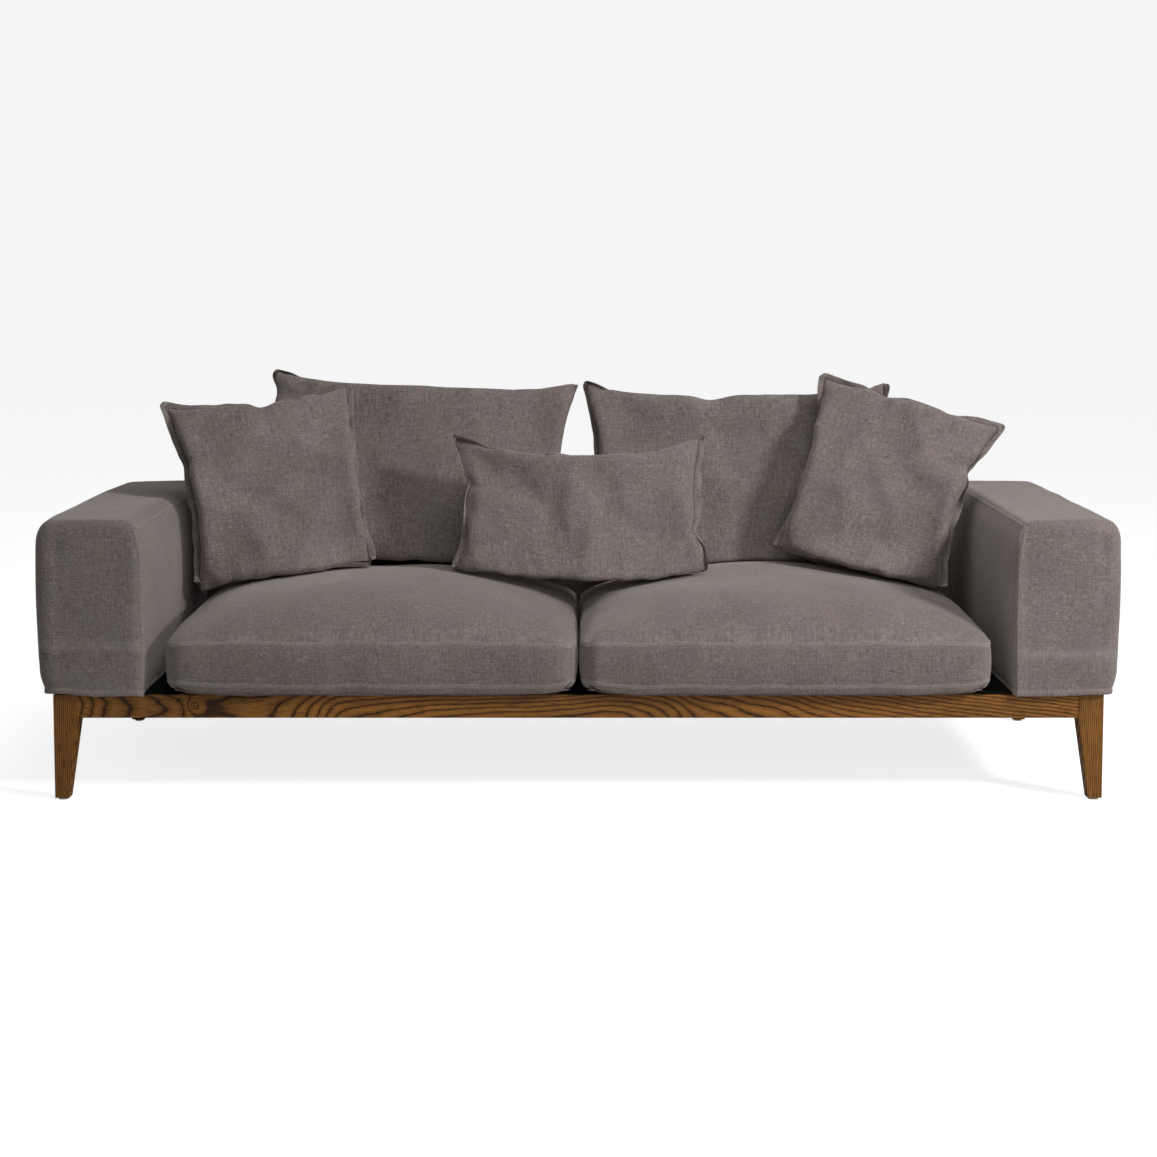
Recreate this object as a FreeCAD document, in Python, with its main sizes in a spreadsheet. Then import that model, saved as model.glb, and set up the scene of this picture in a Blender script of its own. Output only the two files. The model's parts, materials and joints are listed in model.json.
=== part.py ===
"""Three-seat sofa: a low ash frame on tapered legs, padded arms and back in slipcovers, loose cushions.

Millimetres. +Z is up, the sofa faces -Y, and the origin is on the floor at the centre of the plan.
"""

import FreeCAD, Part
import os
import re
from functools import partial

import Sketcher

DIMENSIONS = {
    # overall
    "arm_span": 2400,  # across both arms
    "arm_width": 235,
    "arm_top": 630,  # floor to the top of the arms and the back
    "back_thick": 150,
    # ash frame
    "arm_reach": 35,  # the arms beyond the frame at each end
    "frame_depth": 880,
    "leg_top": 55,
    "leg_foot": 32,
    "leg_drop": 185,  # floor to the underside of the rails
    "rail_rise": 52,
    "rail_thick": 28,
    "reveal": 2,  # how far the rails stand back from the legs' faces
    "tenon_thick": 10,
    "tenon_rise": 32,
    "tenon_reach": 22,
    "tenon_gap": 0.2,
    "wood_edge": 1.5,
    "glide_rise": 5,
    "glide_radius": 11,
    "nail_radius": 2,
    "nail_reach": 20,
    "nail_gap": 0.1,
    # deck under the cushions
    "bearer_thick": 60,
    "bearer_inset": 10,  # bearer's middle, inside the arm's inner face
    "centre_bearer_drop": 12,
    "deck_rail_lap": 19,  # how far the rear deck rail stands out in front of the back
    "deck_rail_depth": 90,
    "strap_width": 60,
    "strap_thick": 2,
    "cloth_thick": 1,
    "block_reach": 49.5,  # past the leg, along each rail
    "block_corner": 35,
    "block_gap": 0.5,
    "block_lift": 2,
    # fasteners
    "screw_radius": 2.5,
    "screw_bite": 20,
    "screw_head_radius": 5,
    "screw_head_rise": 3,
    "screw_inset": 7,
    "bolt_radius": 4,
    "bolt_gap": 0.3,
    "bolt_head_radius": 7,
    "bolt_head_rise": 5,
    "bolt_sink": 6,  # how far up its hole each bolt's head bears
    "bolt_inset": 15.5,  # past the screws
    "nut_radius": 5.5,
    "nut_gap": 0.2,
    "nut_flange_radius": 11,
    "nut_flange_rise": 2,
    # arms and back
    "front_reach": 14,  # the covers beyond the frame
    "back_reach": 20,
    "skin": 3,  # cover fabric with its lining
    "ease": 0.4,  # between one layer and the next
    "padding": 22,
    "cover_round": 30,
    "panel": 12,
    "board": 18,
    # seat cushions
    "seat_reach": 38,  # the cushions beyond the frame
    "seat_gap": 5,  # between the two
    "seat_side_gap": 50.5,  # between a cushion and the arm
    "seat_base_inset": 30,
    "seat_low_seam": 22,
    "seat_high_seam": 117,
    "seat_shoulder_rise": 160,
    "seat_shoulder_inset": 40,
    "seat_slope_rise": 192,
    "seat_slope_inset": 120,
    "seat_crown_rise": 216,
    "seat_crown_inset": 280,
    # back cushions and pillows
    "flange": 20,
    "back_cushion_gap": 12,  # between the two, hem to hem
    "back_cushion_side_gap": 179,  # from the hem to the arm
    "back_cushion_height": 432,
    "back_cushion_half": 75,
    "back_cushion_shoulder": 50,
    "back_cushion_shoulder_inset": 40,
    "back_cushion_plateau_inset": 140,
    "back_cushion_lean": 15,
    "back_cushion_rest": 6,  # hem over the seat
    "back_cushion_behind_gap": 2,
    "back_cushion_spin": 2.5,  # the left one only
    "pillow_size": 420,
    "pillow_half": 62,
    "pillow_shoulder": 42,
    "pillow_shoulder_inset": 36,
    "pillow_plateau_inset": 135,
    "left_pillow_beside": 19,  # its lowest corner from the arm
    "left_pillow_apart": 31,  # in front of the back cushions
    "left_pillow_dip": 28,  # its lowest corner under the seat's crown
    "left_pillow_lean": 24,
    "left_pillow_yaw": 12,
    "left_pillow_spin": 6,
    "right_pillow_beside": 52.5,
    "right_pillow_apart": 25,
    "right_pillow_dip": 44,
    "right_pillow_lean": 26,
    "right_pillow_yaw": 11,
    "right_pillow_spin": 14,
    "lumbar_width": 575,
    "lumbar_height": 310,
    "lumbar_half": 55,
    "lumbar_plateau_inset": 110,
    "lumbar_apart": 110,
    "lumbar_lean": 26,
    "lumbar_dip": -3,
}

# Places and sizes that follow from the dimensions. Each may use the ones above it.
PLACES = {
    "frame_span": "arm_span - 2 * arm_reach",
    "plan_depth": "frame_depth + seat_reach + back_reach",
    "frame_front": "seat_reach - plan_depth / 2",
    "frame_back": "frame_front + frame_depth",
    "frame_middle": "frame_front + frame_depth / 2",
    "frame_top": "leg_drop + rail_rise",
    "rail_front": "frame_front + reveal",
    "rail_inner_y": "rail_front + rail_thick",
    "rail_inner_x": "frame_span / 2 - reveal - rail_thick",
    "rail_inner_depth": "frame_depth - 2 * (reveal + rail_thick)",
    "leg_inside": "leg_top - reveal - rail_thick",
    "cover_front": "frame_front - front_reach",
    "cover_back": "frame_back + back_reach",
    "cover_depth": "cover_back - cover_front",
    "cover_middle": "(cover_front + cover_back) / 2",
    "cover_rise": "arm_top - frame_top",
    "deck_half": "arm_span / 2 - arm_width",
    "arm_middle": "deck_half + arm_width / 2",
    "back_front": "cover_back - back_thick",
    "back_middle": "cover_back - back_thick / 2",
    "back_width": "2 * (deck_half - ease)",
    "deck_top": "frame_top + strap_thick + cloth_thick",
    "bearer_bottom": "leg_drop + block_lift",
    "bearer_top": "frame_top - strap_thick",
    "bearer_middle": "deck_half - bearer_inset",
    "bearer_inner": "bearer_middle - bearer_thick / 2",
    "deck_rail_front": "back_front - deck_rail_lap",
    "seat_front": "frame_front - seat_reach",
    "seat_depth": "back_front - ease - seat_front",
    "seat_middle_y": "(seat_front + back_front - ease) / 2",
    "seat_width": "deck_half - seat_side_gap - seat_gap / 2",
    "seat_middle_x": "(seat_gap + seat_width) / 2",
    "seat_crown": "deck_top + ease + seat_crown_rise",
    "foam_inset": "skin + ease",
    "carcass_inset": "foam_inset + padding + ease",
    "carcass_rise": "cover_rise - carcass_inset",
    "block_rise": "frame_top - bearer_bottom",
    "block_size": "leg_inside + block_gap + block_reach",
    "screw_line": "leg_inside + block_gap + screw_inset",
    "bolt_line": "screw_line + bolt_inset",
    "bolt_seat": "bearer_bottom + bolt_sink",
    "back_bolt_y": "back_front + carcass_inset + panel + nut_flange_radius + ease",
    "back_cushion_whole": "deck_half - back_cushion_side_gap - back_cushion_gap / 2",
    "back_cushion_width": "back_cushion_whole - 2 * flange",
    "back_cushion_apart": "(back_cushion_whole + back_cushion_gap) / 2",
    "back_cushion_foot": "(back_cushion_height / 2 + flange) * cos(back_cushion_lean)",
    "back_cushion_seat": "deck_top + ease + seat_slope_rise + back_cushion_rest",
    "back_cushion_middle": "back_cushion_seat + back_cushion_foot",
    "back_cushion_deep": "back_cushion_half / cos(back_cushion_lean)",
    "back_cushion_top_y": "back_front - back_cushion_behind_gap - back_cushion_deep",
    "pillow_whole_half": "pillow_size / 2 + flange",
    "pillow_line": "back_front - 2 * back_cushion_deep",
}

SIDES = {"left": -1, "right": 1}
UPRIGHT = "0; 0; 1"
ACROSS = "1; 0; 0"
FORWARD = "0; 1; 0"
# The turn that points an upright rod along each direction.
AIMS = {"+z": (UPRIGHT, 0), "+x": (FORWARD, 90), "-x": (FORWARD, -90)}
AIMS.update({"+y": (ACROSS, -90), "-y": (ACROSS, 90)})
doc = FreeCAD.newDocument("sofa")
sheet = doc.addObject("Spreadsheet::Sheet", "sizes")
subparts = []


def fill_sheet():
    """One cell for each dimension, under its own name."""
    for row, (name, value) in enumerate(DIMENSIONS.items(), start=1):
        sheet.set(f"A{row}", str(value))
        sheet.setAlias(f"A{row}", name)
    doc.recompute()


def bound(text):
    """The words of a formula turned into the sheet's cells; other words, such as cos, stay."""

    def cell(match):
        word = match.group()
        if word in DIMENSIONS:
            return f"sizes.{word}"
        return f"({bound(PLACES[word])})" if word in PLACES else word

    return re.sub(r"[a-z][a-z_]*", cell, str(text))


def bind(thing, **formulas):
    for name, formula in formulas.items():
        thing.setExpression(name.replace("__", "."), bound(formula))


def place(thing, x=0, y=0, z=0, *turns):
    """Puts a piece at a place, turned about each axis in order from the last to the first."""
    position = f"create(<<vector>>; {bound(x)}; {bound(y)}; {bound(z)})"
    rotation = " * ".join(
        f"create(<<rotation>>; create(<<vector>>; {axis}); {bound(angle)})"
        for axis, angle in turns or [(UPRIGHT, 0)]
    )
    thing.setExpression("Placement", f"create(<<placement>>; {position}; {rotation})")
    return thing


def subpart(thing, label):
    """Marks a piece as one of the sofa's own, to be written under this name."""
    thing.Label = label
    subparts.append(thing)
    return thing


# ---- features ---------------------------------------------------------------------------------


def origin_plane(body, role):
    return next(f for f in body.Origin.OriginFeatures if f.Role == role)


def new_sketch(body, role, offset):
    sketch = body.newObject("Sketcher::SketchObject", "Sketch")
    sketch.AttachmentSupport = (origin_plane(body, role), [""])
    sketch.MapMode = "FlatFace"
    sketch.setExpression("AttachmentOffset.Base.z", bound(offset))
    return sketch


def outline(sketch, corners):
    """A closed run of lines through these starting corners, joined end to end."""
    for i, (x, y) in enumerate(corners):
        end = corners[(i + 1) % len(corners)]
        line = Part.LineSegment(FreeCAD.Vector(x, y, 0), FreeCAD.Vector(*end, 0))
        sketch.addGeometry(line, False)
    for i in range(len(corners)):
        following = (i + 1) % len(corners)
        sketch.addConstraint(Sketcher.Constraint("Coincident", i, 2, following, 1))


def named_constraint(sketch, name, formula, *constraint):
    index = sketch.addConstraint(Sketcher.Constraint(*constraint))
    sketch.renameConstraint(index, name)
    sketch.setExpression(f"Constraints.{name}", bound(formula))


def centred_rectangle(body, width, depth, offset=0, role="XY_Plane"):
    sketch = new_sketch(body, role, offset)
    outline(sketch, [(-10, -10), (10, -10), (10, 10), (-10, 10)])
    for line, direction in enumerate(("Horizontal", "Vertical") * 2):
        sketch.addConstraint(Sketcher.Constraint(direction, line))
    sketch.addConstraint(Sketcher.Constraint("Symmetric", 0, 1, 2, 1, -1, 1))
    named_constraint(sketch, "width", width, "DistanceX", 0, 1, 0, 2, 20)
    named_constraint(sketch, "depth", depth, "DistanceY", 1, 1, 1, 2, 20)
    return sketch


def polygon(body, corners, offset=0, role="XY_Plane"):
    """A sketch through corners given as pairs of formulas, each held from the origin."""
    sketch = new_sketch(body, role, offset)
    starts = [tuple(float(sheet.evalExpression(bound(v))) for v in corner) for corner in corners]
    outline(sketch, starts)
    for i, ((x, y), (sx, sy)) in enumerate(zip(corners, starts)):
        named_constraint(sketch, f"x{i}", x, "DistanceX", -1, 1, i, 1, sx)
        named_constraint(sketch, f"y{i}", y, "DistanceY", -1, 1, i, 1, sy)
    return sketch


def new_body(label):
    return subpart(doc.addObject("PartDesign::Body", "Body"), label)


def pad(body, sketch, length, midplane=False):
    feature = body.newObject("PartDesign::Pad", "Pad")
    feature.Profile = sketch
    feature.Midplane = midplane
    bind(feature, Length=length)
    return feature


def loft(body, sketches):
    feature = body.newObject("PartDesign::AdditiveLoft", "Loft")
    feature.Profile = sketches[0]
    feature.Sections = sketches[1:]
    feature.Ruled = True
    return feature


def cut_box(body, x, y, z, length, width, height):
    """A box-shaped recess in a body, from its lowest corner."""
    feature = body.newObject("PartDesign::SubtractiveBox", "Recess")
    bind(feature, Length=length, Width=width, Height=height)
    return place(feature, x, y, z)


def cut_hole(body, x, y, z, radius, reach, aim="+z"):
    """A round hole in a body, from a point along a direction."""
    feature = body.newObject("PartDesign::SubtractiveCylinder", "Hole")
    bind(feature, Radius=radius, Height=reach)
    return place(feature, x, y, z, AIMS[aim])


def round_edges(body, wanted, radius):
    """Rounds the edges of a body's last feature that the test accepts."""
    doc.recompute()
    last = body.Tip
    names = [f"Edge{i}" for i, e in enumerate(last.Shape.Edges, start=1) if wanted(e)]
    feature = body.newObject("PartDesign::Fillet", "Rounding")
    feature.Base = (last, names)
    bind(feature, Radius=radius)
    return feature


def runs_along(edge, direction):
    """True for a straight edge that is parallel to a direction."""
    ends = edge.Vertexes[-1].Point - edge.Vertexes[0].Point
    return ends.Length > 1 and abs(ends.normalize().dot(FreeCAD.Vector(*direction))) > 0.999


def box(label, x, y, z, length, width, height):
    """A plain board, from its lowest corner."""
    board = doc.addObject("Part::Box", "Board")
    bind(board, Length=length, Width=width, Height=height)
    place(board, x, y, z)
    return subpart(board, label) if label else board


def cylinder(x, y, z, radius, height, aim="+z"):
    rod = doc.addObject("Part::Cylinder", "Rod")
    bind(rod, Radius=radius, Height=height)
    return place(rod, x, y, z, AIMS[aim])


def fused(*things):
    whole = doc.addObject("Part::MultiFuse", "Fused")
    whole.Shapes = list(things)
    return whole


def cut(base, *tools):
    """A base less one or more tools."""
    for tool in tools:
        result = doc.addObject("Part::Cut", "Cut")
        result.Base = base
        result.Tool = tool
        base = result
    return base


def group(label, things):
    """Identical separate solids under one name."""
    compound = doc.addObject("Part::Compound", "Group")
    compound.Links = list(things)
    return subpart(compound, label)


# ---- ash frame --------------------------------------------------------------------------------


def leg(label, side, end, turn):
    """A square leg with its outer faces upright and its inner faces tapered, and two mortises."""
    body = new_body(label)
    square = [("0", "0"), ("{0}", "0"), ("{0}", "{0}"), ("0", "{0}")]

    def section(width, height):
        return polygon(body, [(x.format(width), y.format(width)) for x, y in square], height)

    loft(body, [section("leg_foot", "glide_rise"), section("leg_top", "leg_drop")])
    pad(body, section("leg_top", "leg_drop"), "rail_rise")
    round_edges(body, lambda e: abs(e.Vertexes[0].Z - e.Vertexes[-1].Z) > 20, "wood_edge")
    doc.recompute()
    from_face = "reveal + (rail_thick - tenon_thick) / 2 - tenon_gap"
    height = "leg_drop + (rail_rise - tenon_rise) / 2 - tenon_gap"
    slot = "tenon_thick + 2 * tenon_gap"
    rise = "tenon_rise + 2 * tenon_gap"
    depth = "leg_top - tenon_reach - tenon_gap"
    beyond = "tenon_reach + tenon_gap + leg_top"
    cut_box(body, depth, from_face, height, beyond, slot, rise)
    cut_box(body, from_face, depth, height, slot, beyond, rise)
    middle = "leg_foot / 2"
    cut_hole(body, middle, middle, 0, "nail_radius + nail_gap", "glide_rise + nail_reach + nail_gap")
    corner_y = "frame_front" if end == "front" else "frame_back"
    place(body, f"{side} * frame_span / 2", corner_y, 0, (UPRIGHT, turn))


def rail(label, length, axis, x, y):
    """A straight rail with a stub tenon at each end."""
    body = new_body(label)
    along = (1, 0, 0) if axis == "x" else (0, 1, 0)
    role = "YZ_Plane" if axis == "x" else "XZ_Plane"
    pad(body, centred_rectangle(body, "rail_thick", "rail_rise", role=role), length, True)
    round_edges(body, lambda e: runs_along(e, along), "wood_edge")
    tenon = centred_rectangle(body, "tenon_thick", "tenon_rise", role=role)
    pad(body, tenon, f"{length} + 2 * tenon_reach", True)
    place(body, x, y, "leg_drop + rail_rise / 2")


def glides():
    """Plastic discs nailed under the legs."""
    made = []
    inset = "leg_foot / 2"
    for side in SIDES.values():
        for y in (f"frame_front + {inset}", f"frame_back - {inset}"):
            x = f"{side} * (frame_span / 2 - {inset})"
            disc = cylinder(x, y, 0, "glide_radius", "glide_rise")
            nail = cylinder(x, y, 0, "nail_radius", "glide_rise + nail_reach")
            made.append(fused(disc, nail))
    group("glides", made)


def corner_block(label, turn, x, y):
    """A square block that fits round the leg and holds two rails, with its inner corner cut off."""
    body = new_body(label)
    notch, size, cut_off = "leg_inside + block_gap", "block_size", "block_size - block_corner"
    corners = [(notch, 0), (size, 0), (size, cut_off), (cut_off, size), (0, size), (0, notch)]
    pad(body, polygon(body, [*corners, (notch, notch)]), "block_rise")
    doc.recompute()
    clear = "screw_radius + bolt_gap"
    cut_hole(body, "screw_line", 0, "block_rise / 3", clear, "block_size", "+y")
    cut_hole(body, 0, "screw_line", "2 * block_rise / 3", clear, "block_size", "+x")
    cut_hole(body, "bolt_line", "bolt_line", 0, "bolt_radius + bolt_gap", "block_rise")
    cut_hole(body, "bolt_line", "bolt_line", 0, "bolt_head_radius + bolt_gap", "bolt_sink")
    place(body, x, y, "bearer_bottom", (UPRIGHT, turn))


def screw(x, y, z, aim):
    """A screw whose head stands on a block's face and whose shank runs on into the rail."""
    forward = 1 if aim[0] == "+" else -1
    step = f"{forward} * screw_head_rise"
    behind = (f"{x} - {step}", y, z) if aim[1] == "x" else (x, f"{y} - {step}", z)
    head = cylinder(*behind, "screw_head_radius", "screw_head_rise", aim)
    shank = cylinder(x, y, z, "screw_radius", "block_size + screw_bite", aim)
    return fused(head, shank)


def corner_screws():
    """Two screws through each corner block, one into each rail."""
    made = []
    for side in SIDES.values():
        for end in (-1, 1):
            corner_x = f"{side} * rail_inner_x"
            corner_y = f"{end} * rail_inner_depth / 2 + frame_middle"
            near_x, far_x = [f"{corner_x} - {side} * {d}" for d in ("screw_line", "block_size")]
            near_y, far_y = [f"{corner_y} - {end} * {d}" for d in ("screw_line", "block_size")]
            # a quarter turn of the block swaps which screw is the higher one
            low, high = (1, 2) if side == end else (2, 1)
            aim_x, aim_y = ["+" if sign > 0 else "-" for sign in (side, end)]
            low_z, high_z = [f"bearer_bottom + {n} * block_rise / 3" for n in (low, high)]
            made.append(screw(near_x, far_y, low_z, aim_y + "y"))
            made.append(screw(far_x, near_y, high_z, aim_x + "x"))
    group("corner_screws", made)


def frame():
    turns = {("left", "front"): 0, ("right", "front"): 90}
    turns.update({("right", "back"): 180, ("left", "back"): 270})
    for (hand, end), turn in turns.items():
        side = SIDES[hand]
        leg(f"{end}_{hand}_leg", side, end, turn)
        y = "rail_inner_y" if end == "front" else "frame_back - reveal - rail_thick"
        corner_block(f"{end}_{hand}_corner_block", turn, f"{side} * rail_inner_x", y)
    across = "frame_span - 2 * leg_top"
    rail("front_rail", across, "x", 0, "rail_front + rail_thick / 2")
    rail("back_rail", across, "x", 0, "frame_back - reveal - rail_thick / 2")
    for hand, side in SIDES.items():
        x = f"{side} * (frame_span / 2 - reveal - rail_thick / 2)"
        rail(f"{hand}_side_rail", "frame_depth - 2 * leg_top", "y", x, "frame_middle")
    glides()
    corner_screws()


# ---- deck under the cushions ------------------------------------------------------------------


def bearers():
    """Bearers from the front rail to the back, and the rail under the front of the sofa's back."""
    rise = "bearer_top - bearer_bottom"
    for hand, side in SIDES.items():
        x = f"{side} * bearer_middle - bearer_thick / 2"
        thick, depth = "bearer_thick", "rail_inner_depth"
        box(f"{hand}_bearer", x, "rail_inner_y", "bearer_bottom", thick, depth, rise)
    depth = "deck_rail_front - rail_inner_y"
    low = "frame_top - centre_bearer_drop - bearer_bottom"
    x = "-bearer_thick / 2"
    box("centre_bearer", x, "rail_inner_y", "bearer_bottom", "bearer_thick", depth, low)
    rear = box(
        None,
        "-bearer_inner",
        "deck_rail_front",
        "bearer_bottom",
        "2 * bearer_inner",
        "deck_rail_depth",
        "frame_top - bearer_bottom",
    )
    holes = []
    for at in back_bolt_places():
        clear, sunk = "bolt_radius + bolt_gap", "bolt_head_radius + bolt_gap"
        holes.append(cylinder(*at, "bearer_bottom", clear, "frame_top - bearer_bottom"))
        holes.append(cylinder(*at, "bearer_bottom", sunk, "bolt_sink"))
    subpart(cut(rear, *holes), "rear_deck_rail")


def webbing():
    """Elastic straps from the front rail to the rear deck rail, and others across under them."""
    straps_each_side = 6
    pitch = f"(bearer_inner - strap_width) / {straps_each_side}"
    start, length = "rail_front + 4", "back_front - ease - 4 - rail_front"
    made = []
    for side in SIDES.values():
        for i in range(straps_each_side):
            middle = f"{side} * ({i} + 0.5) * {pitch} * 1.08"
            x = f"{middle} - strap_width / 2"
            made.append(box(None, x, start, "frame_top", "strap_width", length, "strap_thick"))
    group("front_to_back_straps", made)
    rows = 4
    span = "deck_rail_front - rail_inner_y"
    made = []
    for i in range(rows):
        y = f"rail_inner_y + ({i} + 0.5) * ({span}) / {rows} - strap_width / 2"
        x, long = "-bearer_middle", "2 * bearer_middle"
        made.append(box(None, x, y, "bearer_top", long, "strap_width", "strap_thick"))
    group("side_to_side_straps", made)


def deck_cloth():
    x, wide = "-(deck_half - ease)", "2 * (deck_half - ease)"
    depth = "back_front - ease - rail_front - 1"
    z = "frame_top + strap_thick"
    box("deck_cloth", x, "rail_front + 1", z, wide, depth, "cloth_thick")


def dust_cover():
    """Black cloth tacked up under the bearers, cut out round the four legs."""
    half_x = "rail_inner_x - 1"
    y, depth = "rail_inner_y + 1", "rail_inner_depth - 2"
    z = "leg_drop + block_lift - cloth_thick"
    whole = box(None, f"-({half_x})", y, z, f"2 * ({half_x})", depth, "cloth_thick")
    notch = "leg_inside + block_gap"
    corners = []
    for side in SIDES.values():
        for end in ("rail_inner_y", "rail_inner_y + rail_inner_depth - 2 * leg_inside - 2"):
            x = f"{side} * rail_inner_x - leg_inside - 1"
            corner = box(None, x, end, z, f"2 * ({notch})", f"2 * ({notch})", "cloth_thick")
            corners.append(corner)
    subpart(cut(whole, *corners), "dust_cover")


# ---- arms and back ----------------------------------------------------------------------------


def cover(label, width, depth, x, y):
    """A slipcover: a rounded fabric box, open underneath."""
    body = new_body(label)
    pad(body, centred_rectangle(body, width, depth), "cover_rise")
    round_edges(body, lambda e: e.BoundBox.ZMax > 1, "cover_round")
    doc.recompute()
    last = body.Tip
    faces = enumerate(last.Shape.Faces, start=1)
    floor = [f"Face{i}" for i, f in faces if f.BoundBox.ZMax < 1e-6]
    shell = body.newObject("PartDesign::Thickness", "Skin")
    shell.Base = (last, floor)
    shell.Reversed = True
    bind(shell, Value="skin")
    place(body, x, y, "frame_top")


def foam(label, width, depth, x, y):
    """The padding inside a cover, hollowed for the carcass."""
    body = new_body(label)
    wide, deep = f"{width} - 2 * foam_inset", f"{depth} - 2 * foam_inset"
    pad(body, centred_rectangle(body, wide, deep), "cover_rise - foam_inset")
    round_edges(body, lambda e: e.BoundBox.ZMax > 1, "cover_round - foam_inset")
    doc.recompute()
    inset = "2 * (foam_inset + padding)"
    hollow = centred_rectangle(body, f"{width} - {inset}", f"{depth} - {inset}")
    pocket = body.newObject("PartDesign::Pocket", "Hollow")
    pocket.Profile = hollow
    pocket.Reversed = True
    bind(pocket, Length="cover_rise - foam_inset - padding")
    place(body, x, y, "frame_top")


def carcass(name, width, depth, x, y, long_axis, bolts):
    """A plywood box: two long sides, two end boards, a top and a bolted-down bottom board."""
    wide, deep = f"({width} - 2 * carcass_inset)", f"({depth} - 2 * carcass_inset)"
    low_x, low_y = f"{x} - {wide} / 2", f"{y} - {deep} / 2"
    wall_rise = "carcass_rise - panel"
    box(f"{name}_top_board", low_x, low_y, f"frame_top + {wall_rise}", wide, deep, "panel")
    if long_axis == "y":
        inner_x, inner_y = f"{low_x} + panel", low_y
        inner_wide, inner_deep = f"({wide} - 2 * panel)", deep
        far_x, far_y = f"{low_x} + {wide} - panel", low_y
        panel_wide, panel_deep = "panel", deep
        end_wide, end_deep = inner_wide, "board"
        ends = [(inner_x, low_y), (inner_x, f"{low_y} + {deep} - board")]
        names = ("outer", "inner") if name.startswith("left") else ("inner", "outer")
    else:
        inner_x, inner_y = low_x, f"{low_y} + panel"
        inner_wide, inner_deep = wide, f"({deep} - 2 * panel)"
        far_x, far_y = low_x, f"{low_y} + {deep} - panel"
        panel_wide, panel_deep = wide, "panel"
        end_wide, end_deep = "board", inner_deep
        studs = 5
        step = f"({wide} - board) / {studs - 1}"
        ends = [(f"{low_x} + {i} * {step}", inner_y) for i in range(studs)]
        names = ("front", "rear")
    box(f"{name}_{names[0]}_panel", low_x, low_y, "frame_top", panel_wide, panel_deep, wall_rise)
    box(f"{name}_{names[1]}_panel", far_x, far_y, "frame_top", panel_wide, panel_deep, wall_rise)
    bottom = box(None, inner_x, inner_y, "frame_top", inner_wide, inner_deep, "board")
    clear = "nut_radius + nut_gap"
    holes = [cylinder(*at, "frame_top", clear, "board") for at in bolts]
    subpart(cut(bottom, *holes), f"{name}_bottom_board")
    post_rise = f"{wall_rise} - board"
    boards = [
        box(None, ex, ey, "frame_top + board", end_wide, end_deep, post_rise) for ex, ey in ends
    ]
    group(f"{name}_{'end_boards' if long_axis == 'y' else 'studs'}", boards)


def bolt(x, y):
    """A bolt with its head sunk in the frame from below and its end level with a tee nut's top."""
    head = cylinder(x, y, "bolt_seat - bolt_head_rise", "bolt_head_radius", "bolt_head_rise")
    shank = cylinder(x, y, "bolt_seat", "bolt_radius", "frame_top + board - bolt_seat")
    return fused(head, shank)


def tee_nut(x, y):
    """A flanged sleeve let into a bottom board from above."""
    flange_z = "frame_top + board"
    sleeve = cylinder(x, y, "frame_top + 1", "nut_radius", "board - 1")
    flange = cylinder(x, y, flange_z, "nut_flange_radius", "nut_flange_rise")
    bore = cylinder(x, y, "frame_top", "bolt_radius + bolt_gap / 2", "board + nut_flange_rise")
    return cut(fused(sleeve, flange), bore)


def arm_bolt_places(side):
    """Where each arm's two bolts rise through the corner blocks."""
    x = f"{side} * (rail_inner_x - bolt_line)"
    return [(x, "rail_inner_y + bolt_line"), (x, "rail_inner_y + rail_inner_depth - bolt_line")]


def back_bolt_places():
    """The back's four bolts rise through the rear deck rail, between its studs."""
    return [(f"{share} * bearer_inner", "back_bolt_y") for share in (-0.75, -0.25, 0.25, 0.75)]


def arms_and_back():
    for hand, side in SIDES.items():
        x = f"{side} * arm_middle"
        cover(f"{hand}_arm_cover", "arm_width", "cover_depth", x, "cover_middle")
        foam(f"{hand}_arm_foam", "arm_width", "cover_depth", x, "cover_middle")
        bolts = arm_bolt_places(side)
        carcass(f"{hand}_arm", "arm_width", "cover_depth", x, "cover_middle", "y", bolts)
    cover("back_cover", "back_width", "back_thick", 0, "back_middle")
    foam("back_foam", "back_width", "back_thick", 0, "back_middle")
    carcass("back", "back_width", "back_thick", 0, "back_middle", "x", back_bolt_places())


def bolts_and_nuts():
    arm_places = [at for side in SIDES.values() for at in arm_bolt_places(side)]
    group("arm_bolts", [bolt(*at) for at in arm_places])
    group("back_bolts", [bolt(*at) for at in back_bolt_places()])
    group("tee_nuts", [tee_nut(*at) for at in arm_places + back_bolt_places()])


# ---- cushions ---------------------------------------------------------------------------------


def seat_form(label, shrink):
    """A box cushion with two seams round its sides and a crowned top, smaller by shrink."""
    body = doc.addObject("PartDesign::Body", label)
    profile = [
        ("seat_base_inset", shrink),
        (0, f"seat_low_seam + {shrink} / 2"),
        (0, "seat_high_seam"),
        ("seat_shoulder_inset", f"seat_shoulder_rise - {shrink}"),
        ("seat_slope_inset", f"seat_slope_rise - {shrink}"),
        ("seat_crown_inset", f"seat_crown_rise - {shrink}"),
    ]
    sections = []
    for inset, height in profile:
        less = f"2 * ({inset} + {shrink})"
        wide, deep = f"seat_width - {less}", f"seat_depth - {less}"
        sections.append(centred_rectangle(body, wide, deep, height))
    loft(body, sections)
    return body


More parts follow.
